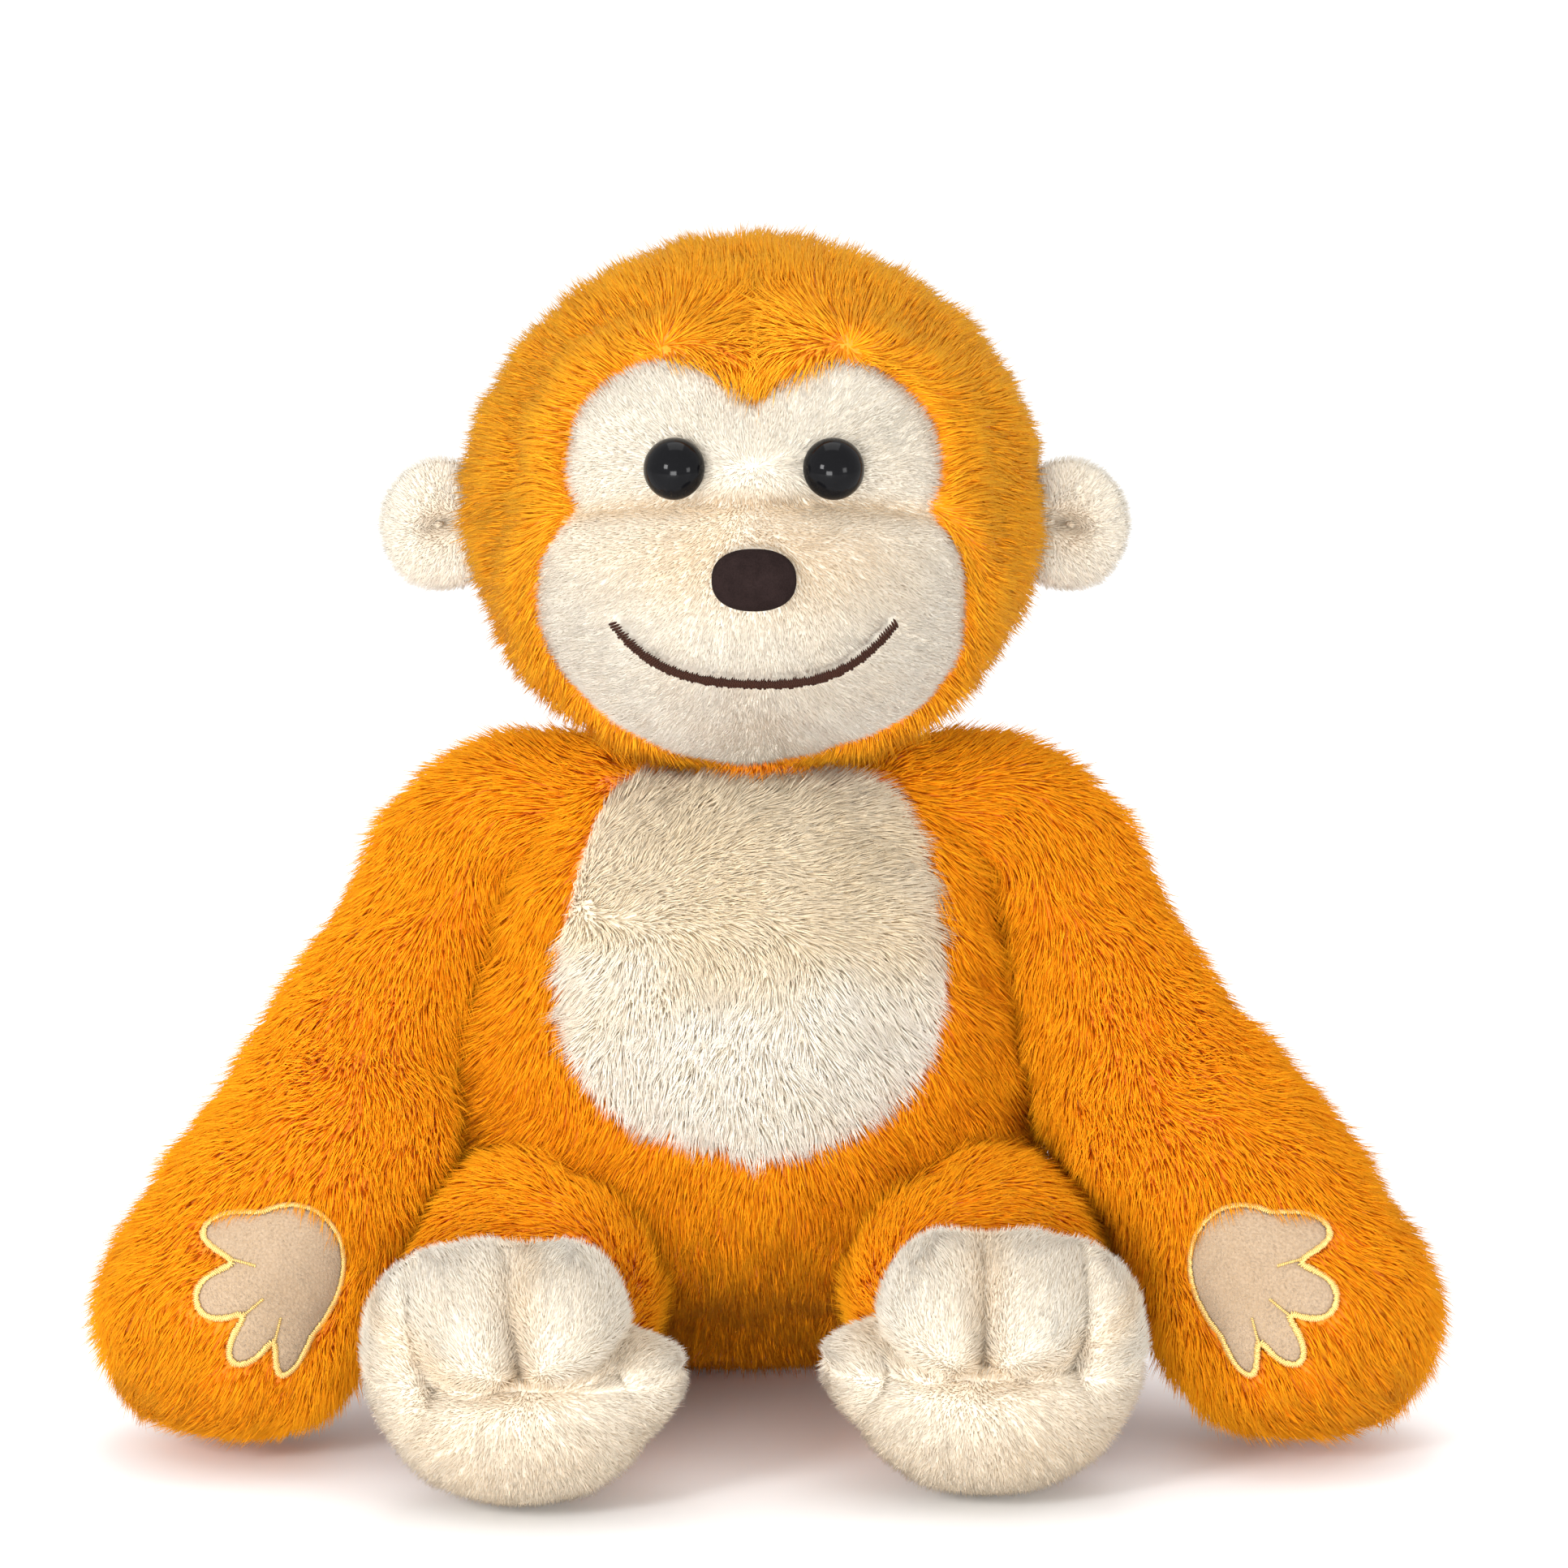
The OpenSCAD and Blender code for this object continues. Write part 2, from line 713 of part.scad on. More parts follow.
function leg_rows(inset) = concat(
    cap_rings(hip_c, -leg_dir, leg_r - inset, 25, 90, ball_steps, arm_cols, leg_ref),
    [
        ring(hip_c + leg_dir * 12, leg_dir, leg_r - hip_pinch - inset, arm_cols, leg_ref),
        ring(hip_c + leg_dir * 23, leg_dir, leg_r - 0.5 - inset, arm_cols, leg_ref),
        ring(leg_stop, leg_dir, leg_r - 3 - inset, arm_cols, leg_ref)
    ],
    cap_rings_forward(inset)
);
function cap_rings_forward(inset) = [
    for (a = [102, 75, 50, 25])
        ring(ankle_c + leg_dir * (ankle_ball - inset) * cos(a), leg_dir, (ankle_ball - inset) * sin(a), arm_cols, leg_ref)
];

module leg_cover(side) {
    color(orange_fur) on_side(side)
        tube_shell(leg_rows(0), leg_rows(fabric));
}

module leg_filling(side) {
    inset = fabric + ease;
    color(fibre_fill) on_side(side)
        loft(leg_rows(inset), hip_c - leg_dir * (leg_r - inset) * cos(25), ankle_c + leg_dir * (ankle_ball - inset) * cos(25));
}

function toe_bulge(p) = p[1] > 0 ? 0 : toe_out * max([for (t = toes) exp(-pow(norm([p[0] - t[0], p[2] - t[1]]) / toe_spread, 2))]);
function foot_point(a, f, inset) =
    let (
        d = polar(0, a, f),
        p = d * ray_out([0, 0, 0], d, [0, 0, 0], [foot_w, foot_d, foot_h]),
        q = foot_c + p + [0, -toe_bulge(p), 0] - d * inset
    )
    q;
function foot_rows_of(inset) = [
    for (i = [1:foot_rows])
        [for (j = [0:foot_cols - 1]) foot_point(180 - 180 * i / (foot_rows + 1), j * 360 / foot_cols, inset)]
];

module foot_cover(side) {
    color(cream_fur) on_side(side)
        difference() {
            tipped_shell(
                turned(reversed(foot_rows_of(0))), turned(reversed(foot_rows_of(fabric))), foot_point(0, 0, 0),
                foot_point(0, 0, fabric)
            );
            translate(ankle_c) sphere(r = ankle_ball + 0.5, $fn = 48);
        }
}

module foot_filling(side) {
    inset = fabric + ease;
    color(fibre_fill) on_side(side)
        difference() {
            loft(foot_rows_of(inset), foot_point(180, 0, inset), foot_point(0, 0, inset));
            translate(ankle_c) sphere(r = ankle_ball + 0.6, $fn = 48);
        }
}

// Stitches that pull the sole in between the two curled toes and along their tips
function sole_point(x, z) =
    let (y = -foot_d * sqrt(1 - pow(x / foot_w, 2) - pow(z / foot_h, 2)), p = [x, y, z])
    foot_c + p + [0, -toe_bulge(p) - 2, 0];
seam_lines = [
    [for (z = [5:5:25]) [0, z]],
    [for (z = [5:5:25]) [21, z]],
    [for (x = [-26:4.5:19]) [x, 3 - 3 * cos(x * 4)]]
];

module toe_stitches(side) {
    color(cream_fur) on_side(side)
        for (line = seam_lines)
            thread([for (p = line) sole_point(p[0], p[1])], 0.6, false, 5);
}

// ---------- nodes ----------

torso_cover();
belly_panel();
seat_panel();
torso_filling();
seat_bean_bag();
back_closing_stitches();
neck_seam_thread();
neck_filling();
head_cover();
brow_panel();
muzzle_panel();
head_filling();
smile_thread();
eye(eye_at[1]);  // left_eye
eye(180 - eye_at[1]);  // right_eye
washer(eye_at);  // left_eye_washer
washer([eye_at[0], 180 - eye_at[1]]);  // right_eye_washer
nose();
washer(nose_at);  // nose_washer
ear_leaf(LEFT, -1, cream_fur);  // left_ear_front
ear_leaf(LEFT, 1, cream_fur);  // left_ear_back
ear_leaf(RIGHT, -1, cream_fur);  // right_ear_front
ear_leaf(RIGHT, 1, cream_fur);  // right_ear_back
shoulder_thread(LEFT);  // left_shoulder_thread
shoulder_thread(RIGHT);  // right_shoulder_thread
upper_arm_cover(LEFT);  // left_upper_arm_cover
upper_arm_filling(LEFT);  // left_upper_arm_filling
upper_arm_cover(RIGHT);  // right_upper_arm_cover
upper_arm_filling(RIGHT);  // right_upper_arm_filling
forearm_cover(LEFT);  // left_forearm_cover
forearm_filling(LEFT);  // left_forearm_filling
forearm_cover(RIGHT);  // right_forearm_cover
forearm_filling(RIGHT);  // right_forearm_filling
palm_patch(LEFT);  // left_palm_patch
palm_edging(LEFT);  // left_palm_edging
palm_patch(RIGHT);  // right_palm_patch
palm_edging(RIGHT);  // right_palm_edging
leg_cover(LEFT);  // left_leg_cover
leg_filling(LEFT);  // left_leg_filling
leg_cover(RIGHT);  // right_leg_cover
leg_filling(RIGHT);  // right_leg_filling
foot_cover(LEFT);  // left_foot_cover
foot_filling(LEFT);  // left_foot_filling
foot_cover(RIGHT);  // right_foot_cover
foot_filling(RIGHT);  // right_foot_filling
toe_stitches(LEFT);  // left_toe_stitches
toe_stitches(RIGHT);  // right_toe_stitches
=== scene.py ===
"""A seated plush monkey: stuffed skins, cut pile, embroidery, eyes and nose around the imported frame.

Shapes are worked out in millimetres, on numpy grids, in the frame's own axes: the toy faces -Y, its own left
is +X and Z is up. They become meshes in metres.
"""

import logging
from dataclasses import dataclass, field
from enum import Enum
from typing import Callable, Optional, Sequence, Union

import bpy
import numpy as np
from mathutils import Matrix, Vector


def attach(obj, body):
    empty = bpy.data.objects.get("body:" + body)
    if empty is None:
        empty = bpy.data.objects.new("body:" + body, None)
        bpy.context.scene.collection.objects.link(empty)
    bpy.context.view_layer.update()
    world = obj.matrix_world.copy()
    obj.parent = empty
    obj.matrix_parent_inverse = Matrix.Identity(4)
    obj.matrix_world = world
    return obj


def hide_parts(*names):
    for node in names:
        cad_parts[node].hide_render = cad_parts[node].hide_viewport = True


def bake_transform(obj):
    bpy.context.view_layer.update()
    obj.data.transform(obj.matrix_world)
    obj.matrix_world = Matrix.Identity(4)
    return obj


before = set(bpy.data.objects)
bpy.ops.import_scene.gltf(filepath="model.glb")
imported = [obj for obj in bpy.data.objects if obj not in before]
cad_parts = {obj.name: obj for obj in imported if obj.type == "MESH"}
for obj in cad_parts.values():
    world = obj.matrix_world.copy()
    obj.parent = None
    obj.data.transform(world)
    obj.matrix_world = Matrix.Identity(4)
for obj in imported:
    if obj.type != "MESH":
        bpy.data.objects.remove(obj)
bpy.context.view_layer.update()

Array = np.ndarray
Colour = tuple[float, float, float]
Field = Callable[[Array], Array]

LOG = logging.getLogger("plush")
MM = 0.001
BODY_Y = 33.7
UP = np.array([0.0, 0.0, 1.0])
FLOOR_GAP = 0.5


class Side(Enum):
    """The toy's own left and right, as the sign of X."""

    LEFT = 1
    RIGHT = -1

    @property
    def label(self) -> str:
        """The side's name, as bodies and nodes spell it."""
        return self.name.lower()


# ---------- number helpers ----------


def unit(vectors: Array) -> Array:
    """Divides each vector by its length."""
    return vectors / np.maximum(np.linalg.norm(vectors, axis=-1, keepdims=True), 1e-9)


def smooth_step(low: float, high: float, value: Array) -> Array:
    """Runs from 0 at low to 1 at high, as 3t^2 - 2t^3."""
    t = np.clip((value - low) / (high - low), 0.0, 1.0)
    return t * t * (3.0 - 2.0 * t)


def bump(value: Array, width: float) -> Array:
    """A bell curve: exp(-(value / width)^2)."""
    return np.exp(-((value / width) ** 2))


def flatten(vectors: Array, normals: Array) -> Array:
    """Takes out of each vector the part that points along its normal, and makes it a unit vector."""
    return unit(vectors - normals * np.sum(vectors * normals, axis=-1, keepdims=True))


def polar(tilt: float, angle: Array, bearing: Array) -> Array:
    """Unit directions about an axis that looks along -Y and is tilted up.

    The direction is axis * cos(angle) + (right * cos(bearing) + upward * sin(bearing)) * sin(angle).

    Args:
        tilt: how far the axis looks up, in degrees.
        angle: angle from the axis, in degrees.
        bearing: turn about the axis, from the right and up, in degrees.

    Returns:
        Directions, with a last axis of three.
    """
    t = np.radians(tilt)
    ahead = np.array([0.0, -np.cos(t), np.sin(t)])
    upward = np.array([0.0, np.sin(t), np.cos(t)])
    a = np.radians(angle)[..., None]
    f = np.radians(bearing)[..., None]
    right = np.array([1.0, 0.0, 0.0])
    return ahead * np.cos(a) + (right * np.cos(f) + upward * np.sin(f)) * np.sin(a)


def polar_of(tilt: float, directions: Array) -> tuple[Array, Array]:
    """The angle and bearing, in degrees, of unit directions: the inverse of polar()."""
    t = np.radians(tilt)
    ahead = directions @ np.array([0.0, -np.cos(t), np.sin(t)])
    upward = directions @ np.array([0.0, np.sin(t), np.cos(t)])
    angle = np.degrees(np.arccos(np.clip(ahead, -1.0, 1.0)))
    return angle, np.degrees(np.arctan2(upward, directions[..., 0]))


def ray_out(start: Array, directions: Array, centre: Array, half: Array) -> Array:
    """Distance from start, along each direction, to the far side of an ellipsoid.

    It is the larger root of |(start + r d - centre) / half| = 1.
    """
    o = (start - centre) / half
    q = directions / half
    a = np.sum(q * q, axis=-1)
    b = np.sum(o * q, axis=-1)
    return (np.sqrt(b * b - a * (o @ o - 1.0)) - b) / a


def half_outline(points: Sequence[tuple[float, float]], bearing: Array) -> Array:
    """Reads an outline that is given for bearings from -90 to 90 and mirrored on the other side."""
    table = np.array(points, float)
    folded = np.degrees(np.arcsin(np.clip(np.sin(np.radians(bearing)), -1.0, 1.0)))
    rounded = [np.interp(folded + d, table[:, 0], table[:, 1]) for d in (-3.0, 0.0, 3.0)]
    return (rounded[0] + 2.0 * rounded[1] + rounded[2]) / 4.0


def curve_through(points: Sequence[Sequence[float]], steps: int) -> Array:
    """A smooth line through points: on each span, the Catmull-Rom cubic of the four points around it."""
    p = np.array(points, float)
    p = np.vstack([2.0 * p[0] - p[1], p, 2.0 * p[-1] - p[-2]])
    t = np.linspace(0.0, len(points) - 1.0, steps)
    k = np.minimum(t.astype(int), len(points) - 2)
    s = (t - k)[:, None]
    a, b, c, d = p[k], p[k + 1], p[k + 2], p[k + 3]
    cubic = (3.0 * b - 3.0 * c + d - a) * s**3 + (2.0 * a - 5.0 * b + 4.0 * c - d) * s**2
    return 0.5 * (cubic + (c - a) * s + 2.0 * b)


class Drift:
    """A smooth random vector at each point: a sum of sine waves that run in random directions."""

    WAVES = 9

    def __init__(self, wavelength: float, seed: int) -> None:
        """Draws the waves.

        Args:
            wavelength: the mean wavelength, in millimetres.
            seed: seed of the random draws.
        """
        rng = np.random.default_rng(seed)
        turns = unit(rng.normal(size=(self.WAVES, 3)))
        self.waves = turns * (2.0 * np.pi / wavelength) * rng.uniform(0.7, 1.4, (self.WAVES, 1))
        self.phases = rng.uniform(0.0, 2.0 * np.pi, (self.WAVES, 3))

    def __call__(self, points: Array) -> Array:
        """The vector at each point, with parts that are mostly between -1 and 1."""
        turn = points @ self.waves.T
        return np.stack([np.sin(turn + self.phases[:, k]).sum(-1) for k in range(3)], -1) / self.WAVES**0.5


# ---------- meshes ----------


@dataclass
class Form:
    """Points and outward faces of a closed shape, in millimetres.

    Attributes:
        points: one row of three for each vertex.
        tris: vertex numbers of the triangles.
        quads: vertex numbers of the four-sided faces.
        marks: a number for each vertex under each attribute name.
        chart: a place on the bake's map for each vertex, or None.
    """

    points: Array
    tris: Array
    quads: Array
    marks: dict[str, Array] = field(default_factory=dict)
    chart: Optional[Array] = None

    def triangles(self) -> Array:
        """All faces as triangles."""
        q = self.quads
        return np.vstack([self.tris, q[:, [0, 1, 2]], q[:, [0, 2, 3]]])

    def outward(self) -> "Form":
        """Turns the faces round if the enclosed volume comes out negative."""
        a, b, c = (self.points[k] for k in self.triangles().T)
        if np.sum(a * np.cross(b, c)) < 0.0:
            self.tris = self.tris[:, ::-1]
            self.quads = self.quads[:, ::-1]
        return self

    def on_side(self, side: Side) -> "Form":
        """The shape, modelled on the left, on either side."""
        if side is Side.LEFT:
            return self
        points = self.points * (-1.0, 1.0, 1.0)
        return Form(points, self.tris[:, ::-1], self.quads[:, ::-1], self.marks, self.chart)

    def normals(self) -> Array:
        """A unit normal for each vertex, the mean of its faces by area."""
        faces = self.triangles()
        a, b, c = (self.points[k] for k in faces.T)
        square = np.cross(b - a, c - a)
        total = np.zeros_like(self.points)
        for k in range(3):
            np.add.at(total, faces[:, k], square)
        return unit(total)


def joined(forms: Sequence[Form]) -> Form:
    """One shape out of several."""
    starts = np.cumsum([0] + [len(f.points) for f in forms[:-1]])
    names = forms[0].marks
    charts = [f.chart for f in forms if f.chart is not None]
    return Form(
        np.vstack([f.points for f in forms]),
        np.vstack([f.tris + s for f, s in zip(forms, starts)]),
        np.vstack([f.quads + s for f, s in zip(forms, starts)]),
        {n: np.concatenate([f.marks[n] for f in forms]) for n in names},
        np.vstack(charts) if len(charts) == len(forms) else None,
    )


def capped_grid(rows: Array, first: Array, last: Array) -> Form:
    """A closed surface from a grid of points whose columns wrap round.

    Args:
        rows: points, as rows by columns by three.
        first: the pole before the first row.
        last: the pole after the last row.

    Returns:
        The surface, with faces that point outwards.
    """
    height, width = rows.shape[:2]
    number = np.arange(height * width).reshape(height, width)
    after = np.roll(number, -1, axis=1)
    quads = np.stack([number[:-1], after[:-1], after[1:], number[1:]], -1).reshape(-1, 4)
    top = np.full(width, height * width)
    fans = [np.stack([top, after[0], number[0]], -1), np.stack([top + 1, number[-1], after[-1]], -1)]
    points = np.vstack([rows.reshape(-1, 3), first, last])
    return Form(points, np.vstack(fans), quads).outward()


def closed_ball(point: Callable[[Array, Array], Array], rows: int, columns: int, edge: float) -> Form:
    """A closed surface round a middle.

    Args:
        point: gives a point at an angle from the first pole and a bearing round it, both in degrees.
        rows: how many rings of points there are between the poles.
        columns: how many points a ring has.
        edge: angle between a pole and the ring next to it, in degrees.

    Returns:
        The surface.
    """
    angles, bearings = np.linspace(edge, 180.0 - edge, rows), np.linspace(0, 360, columns, endpoint=False)
    grid = point(*np.meshgrid(angles, bearings, indexing="ij"))
    return capped_grid(grid, *(point(np.array(pole), np.array(0.0)) for pole in (0.0, 180.0)))


def swept(centres: Array, radii: Array, reference: Array, sides: int, flat: float = 1.0) -> Form:
    """A tube of changing radius carried along a line, closed at its ends.

    Each ring is centre + (side cos t + flat * other sin t) * radius, square to the line.

    Args:
        centres: the line's points.
        radii: the radius at each.
        reference: a direction that the rings' first side is kept square to.
        sides: points in each ring.
        flat: how much the tube is pressed along its second side.

    Returns:
        The closed tube.
    """
    along = unit(np.gradient(centres, axis=0))
    side = unit(np.cross(reference, along))
    other = np.cross(along, side)
    t = np.linspace(0.0, 2.0 * np.pi, sides, endpoint=False)[None, :, None]
    ring = side[:, None] * np.cos(t) + other[:, None] * np.sin(t) * flat
    rows = centres[:, None] + ring * radii[:, None, None]
    return capped_grid(rows[1:-1], centres[0], centres[-1])


def spindles(centres: Array, along: Array, normals: Array, length: Array, thick: float) -> Form:
    """Small closed stitches, each an arched spindle of five sides.

    Args:
        centres: the middle of each stitch.
        along: the unit direction of each.
        normals: the unit direction that each arches towards.
        length: length of each, in millimetres.
        thick: thickness, in millimetres.

    Returns:
        All the stitches as one shape.
    """
    sides = 5
    across = np.cross(normals, along)
    t = np.arange(sides) * 2.0 * np.pi / sides
    places = np.array([-0.36, 0.0, 0.36])
    girths = np.array([0.8, 1.0, 0.8])
    s = np.repeat(places, sides)
    g = np.repeat(girths, sides) * thick / 2.0
    ring = np.tile(t, 3)
    local = np.stack([s, g * np.cos(ring), g * np.sin(ring) + (1.0 - (2.0 * s) ** 2) * thick * 0.45], -1)
    local = np.vstack([local, [-0.5, 0.0, -thick * 0.35], [0.5, 0.0, -thick * 0.35]])
    axes = np.stack([along * length[:, None], across, normals], 1)
    points = centres[:, None] + np.einsum("vk,nkj->nvj", local, axes)
    shape = capped_grid(local[:-2].reshape(3, sides, 3), local[-2], local[-1])
    steps = (np.arange(len(centres)) * len(local))[:, None, None]
    return Form(
        points.reshape(-1, 3),
        (shape.tris[None] + steps).reshape(-1, 3),
        (shape.quads[None] + steps).reshape(-1, 4),
    )


# ---------- pile ----------


@dataclass(frozen=True)
class Pile:
    """How the cut pile of a fabric stands.

    Attributes:
        length: length of the strands, in millimetres.
        width: width of a strand at its root, in millimetres.
        density: strands on each square millimetre.
        lean: how far a strand lies over, in degrees from upright.
        tangle: how much the lay wanders, as a share of its direction.
        tuft: how far neighbouring tips are drawn together, in millimetres.
    """

    length: float
    width: float
    density: float
    lean: float
    tangle: float
    tuft: float


HOOD = Pile(length=9.0, width=0.46, density=1.7, lean=67.0, tangle=0.16, tuft=0.45)
COAT = Pile(length=9.5, width=0.48, density=1.42, lean=64.0, tangle=0.22, tuft=0.6)
BIB = Pile(length=7.5, width=0.4, density=2.4, lean=54.0, tangle=0.26, tuft=0.9)
NAP = Pile(length=3.4, width=0.28, density=3.9, lean=60.0, tangle=0.16, tuft=0.2)
SOLE = Pile(length=3.8, width=0.33, density=2.4, lean=56.0, tangle=0.22, tuft=0.35)
VELOUR = Pile(length=0.8, width=0.26, density=4.0, lean=35.0, tangle=0.5, tuft=0.15)


def grown(
    skin: Form, pile: Pile, comb: Field, length_at: Field, seed: int, dye_and_shade_at: Optional[Field] = None
) -> Form:
    """Strands of pile on a skin, each a closed spike with three sides.

    A strand starts at a random point of the skin, spread evenly by area. It leaves along the normal, turned
    by the lean towards the comb direction. A short-wave drift shifts its tip and draws tufts together.

    Args:
        skin: the surface that the pile stands on.
        pile: how it stands.
        comb: gives the direction in which the pile is brushed at each root.
        length_at: gives the share of the full length at each root, 0 where nothing grows.
        seed: seed of the random draws.
        dye_and_shade_at: gives the share of the second colour at each root, real dye on some parts and
            painted shade on others, or None where there is none.

    Returns:
        The strands, with the marks rise, 0 at a root and 1 at a tip, tint, a random number each, and a third
        mark, the share of the second colour: real dye and painted shade.
    """
    rng = np.random.default_rng(seed)
    faces = skin.triangles()
    a, b, c = (skin.points[k] for k in faces.T)
    area = np.linalg.norm(np.cross(b - a, c - a), axis=1) / 2.0
    ends = np.cumsum(area) * pile.density
    places = np.arange(int(ends[-1])) + rng.random(int(ends[-1]))
    picks = np.minimum(np.searchsorted(ends, places), len(area) - 1)
    r = np.sqrt(rng.random(len(picks)))[:, None]
    s = rng.random(len(picks))[:, None]
    share = (1.0 - r, r * (1.0 - s), r * s)
    roots = sum(w * skin.points[faces[picks, k]] for k, w in enumerate(share))
    vertex_normals = skin.normals()
    normals = unit(sum(w * vertex_normals[faces[picks, k]] for k, w in enumerate(share)))

    size = length_at(roots)
    grows = size > rng.uniform(0.02, 0.3, len(size))
    roots, normals, size = roots[grows], normals[grows], size[grows]
    count = len(roots)
    wander = Drift(34.0, seed + 1)(roots) + 0.7 * Drift(11.0, seed + 2)(roots)
    lay = flatten(flatten(comb(roots), normals) + wander * pile.tangle, normals)
    waver = 9.0 * Drift(16.0, seed + 3)(roots)[:, :1]
    lean = np.radians(pile.lean + waver + rng.normal(0.0, 7.0, (count, 1)))
    aim = unit(normals * np.cos(lean) + lay * np.sin(lean) + rng.normal(0.0, 0.1, (count, 3)))
    full = pile.length * size * rng.uniform(0.72, 1.12, count)
    clump = Drift(6.0, seed + 4)(roots) * pile.tuft * size[:, None]
    tips = roots + aim * full[:, None] + clump - normals * np.sum(clump * normals, 1, keepdims=True)
    tips[:, 2] = np.maximum(tips[:, 2], FLOOR_GAP)

    first = unit(np.cross(aim, rng.normal(size=(count, 3))))
    second = np.cross(aim, first)
    turn = np.arange(3) * 2.0 * np.pi / 3.0
    spread = first[:, None] * np.cos(turn)[:, None] + second[:, None] * np.sin(turn)[:, None]
    half = (pile.width * (0.6 + 0.4 * size) * rng.uniform(0.75, 1.25, count) * 0.5)[:, None, None]
    base = roots[:, None] - aim[:, None] * 0.35 + spread * half
    points = np.concatenate([base, tips[:, None]], axis=1).reshape(-1, 3)
    corners = np.array([[0, 1, 3], [1, 2, 3], [2, 0, 3], [2, 1, 0]])
    tris = (corners[None] + (np.arange(count) * 4)[:, None, None]).reshape(-1, 3)
    marks = {
        "rise": np.tile([0.0, 0.0, 0.0, 1.0], count),
        "tint": np.repeat(rng.random(count), 4),
        # The third mark holds the share of the second colour: real dye on some parts, painted shade on
        # others.
        "dye": np.repeat(np.zeros(count) if dye_and_shade_at is None else dye_and_shade_at(roots), 4),
    }
    return Form(points, tris, np.zeros((0, 4), int), marks, strand_chart(count))


def strand_chart(count: int) -> Array:
    """A cell of the bake's map for each strand, with the root low in the cell and the tip at its top."""
    across = int(np.ceil(np.sqrt(count * 1.6)))
    up = int(np.ceil(count / across))
    cell = np.stack([np.arange(count) % across, np.arange(count) // across], -1)
    corner = np.array([[0.15, 0.1], [0.5, 0.1], [0.85, 0.1], [0.5, 0.9]])
    return ((cell[:, None] + corner[None]) / (across, up)).reshape(-1, 2)


# ---------- shader maths ----------


Number = Union[float, "Value"]


class Value:
    """A socket that carries a number, with Python's operators as Math nodes."""

    def __init__(self, shader: "Shader", socket: bpy.types.NodeSocket) -> None:
        """Wraps a socket of a shader's node tree."""
        self.shader = shader
        self.socket = socket

    def _math(self, operation: str, first: Number, second: Number) -> "Value":
        """A Math node on two numbers."""
        node = self.shader.node("ShaderNodeMath", {"operation": operation}, {0: first, 1: second})
        return Value(self.shader, node.outputs[0])

    def __add__(self, other: Number) -> "Value":
        """self + other."""
        return self._math("ADD", self, other)

    def __sub__(self, other: Number) -> "Value":
        """self - other."""
        return self._math("SUBTRACT", self, other)

    def __rsub__(self, other: Number) -> "Value":
        """other - self."""
        return self._math("SUBTRACT", other, self)

    def __mul__(self, other: Number) -> "Value":
        """self * other."""
        return self._math("MULTIPLY", self, other)

    def __pow__(self, other: Number) -> "Value":
        """self to the power of other."""
        return self._math("POWER", self, other)

    __radd__ = __add__
    __rmul__ = __mul__

    def clamped(self) -> "Value":
        """The number, kept between 0 and 1."""
        node = self.shader.node("ShaderNodeClamp", {}, {"Value": self})
        return Value(self.shader, node.outputs[0])


Input = Union[float, Sequence[float], Value, bpy.types.NodeSocket]


class Shader:
    """A material under construction."""

    def __init__(self, name: str) -> None:
        """Makes an empty node material."""
        self.material = bpy.data.materials.new(name)
        self.material.use_nodes = True
        self.tree = self.material.node_tree
        self.tree.nodes.clear()

    def node(self, kind: str, settings: dict, sockets: dict[Union[int, str], Input]) -> bpy.types.Node:
        """Adds a node.

        Args:
            kind: the node's type.
            settings: its properties, set before its sockets are filled; "stops" are a ramp's stops.
            sockets: numbers, colours or links, by the input's name or place.

        Returns:
            The node.
        """
        made = self.tree.nodes.new(kind)
        for name, setting in settings.items():
            if name == "stops":
                self._set_stops(made.color_ramp, setting)
            else:
                setattr(made, name, setting)
        for key, given in sockets.items():
            link = given.socket if isinstance(given, Value) else given
            if isinstance(link, bpy.types.NodeSocket):
                self.tree.links.new(link, made.inputs[key])
            else:
                made.inputs[key].default_value = link
        return made

    @staticmethod
    def _set_stops(ramp: bpy.types.ColorRamp, stops: Sequence[tuple[float, Colour]]) -> None:
        """Puts the stops of a colour ramp."""
        for number, (place, colour) in enumerate(stops):
            stop = ramp.elements[number] if number < 2 else ramp.elements.new(place)
            stop.position = place
            stop.color = (*colour, 1.0)

    def mark(self, name: str) -> Value:
        """The number that a mesh attribute holds."""
        made = self.node("ShaderNodeAttribute", {"attribute_name": name}, {})
        return Value(self, made.outputs["Fac"])

    def place(self, stretch: Sequence[float] = (1.0, 1.0, 1.0)) -> bpy.types.NodeSocket:
        """Object coordinates, stretched."""
        start = self.node("ShaderNodeTexCoord", {}, {}).outputs["Object"]
        return self.node("ShaderNodeMapping", {}, {"Vector": start, "Scale": stretch}).outputs[0]

    def noise(self, scale: float, detail: float = 2.0, stretch: Sequence[float] = (1.0, 1.0, 1.0)) -> Value:
        """Cloudy noise with cells about 1 / scale metres across."""
        sockets = {"Vector": self.place(stretch), "Scale": scale, "Detail": detail}
        return Value(self, self.node("ShaderNodeTexNoise", {}, sockets).outputs["Fac"])

    def mixed(self, share: Number, first: Input, second: Input) -> bpy.types.NodeSocket:
        """Blends two colours: first at share 0 and second at share 1."""
        ready = [(*c, 1.0) if isinstance(c, tuple) else c for c in (first, second)]
        sockets = {0: share, 6: ready[0], 7: ready[1]}
        return self.node("ShaderNodeMix", {"data_type": "RGBA"}, sockets).outputs[2]

    def raised(self, height: Value, distance: float, strength: float = 1.0) -> bpy.types.NodeSocket:
        """A normal from a height of up to a distance in metres."""
        sockets = {"Height": height, "Distance": distance, "Strength": strength}
        return self.node("ShaderNodeBump", {}, sockets).outputs[0]

    def finished(self, sockets: dict[Union[int, str], Input]) -> bpy.types.Material:
        """Ends the tree with a Principled BSDF and gives back the material."""
        surface = self.node("ShaderNodeBsdfPrincipled", {}, sockets)
        self.node("ShaderNodeOutputMaterial", {}, {"Surface": surface.outputs[0]})
        return self.material


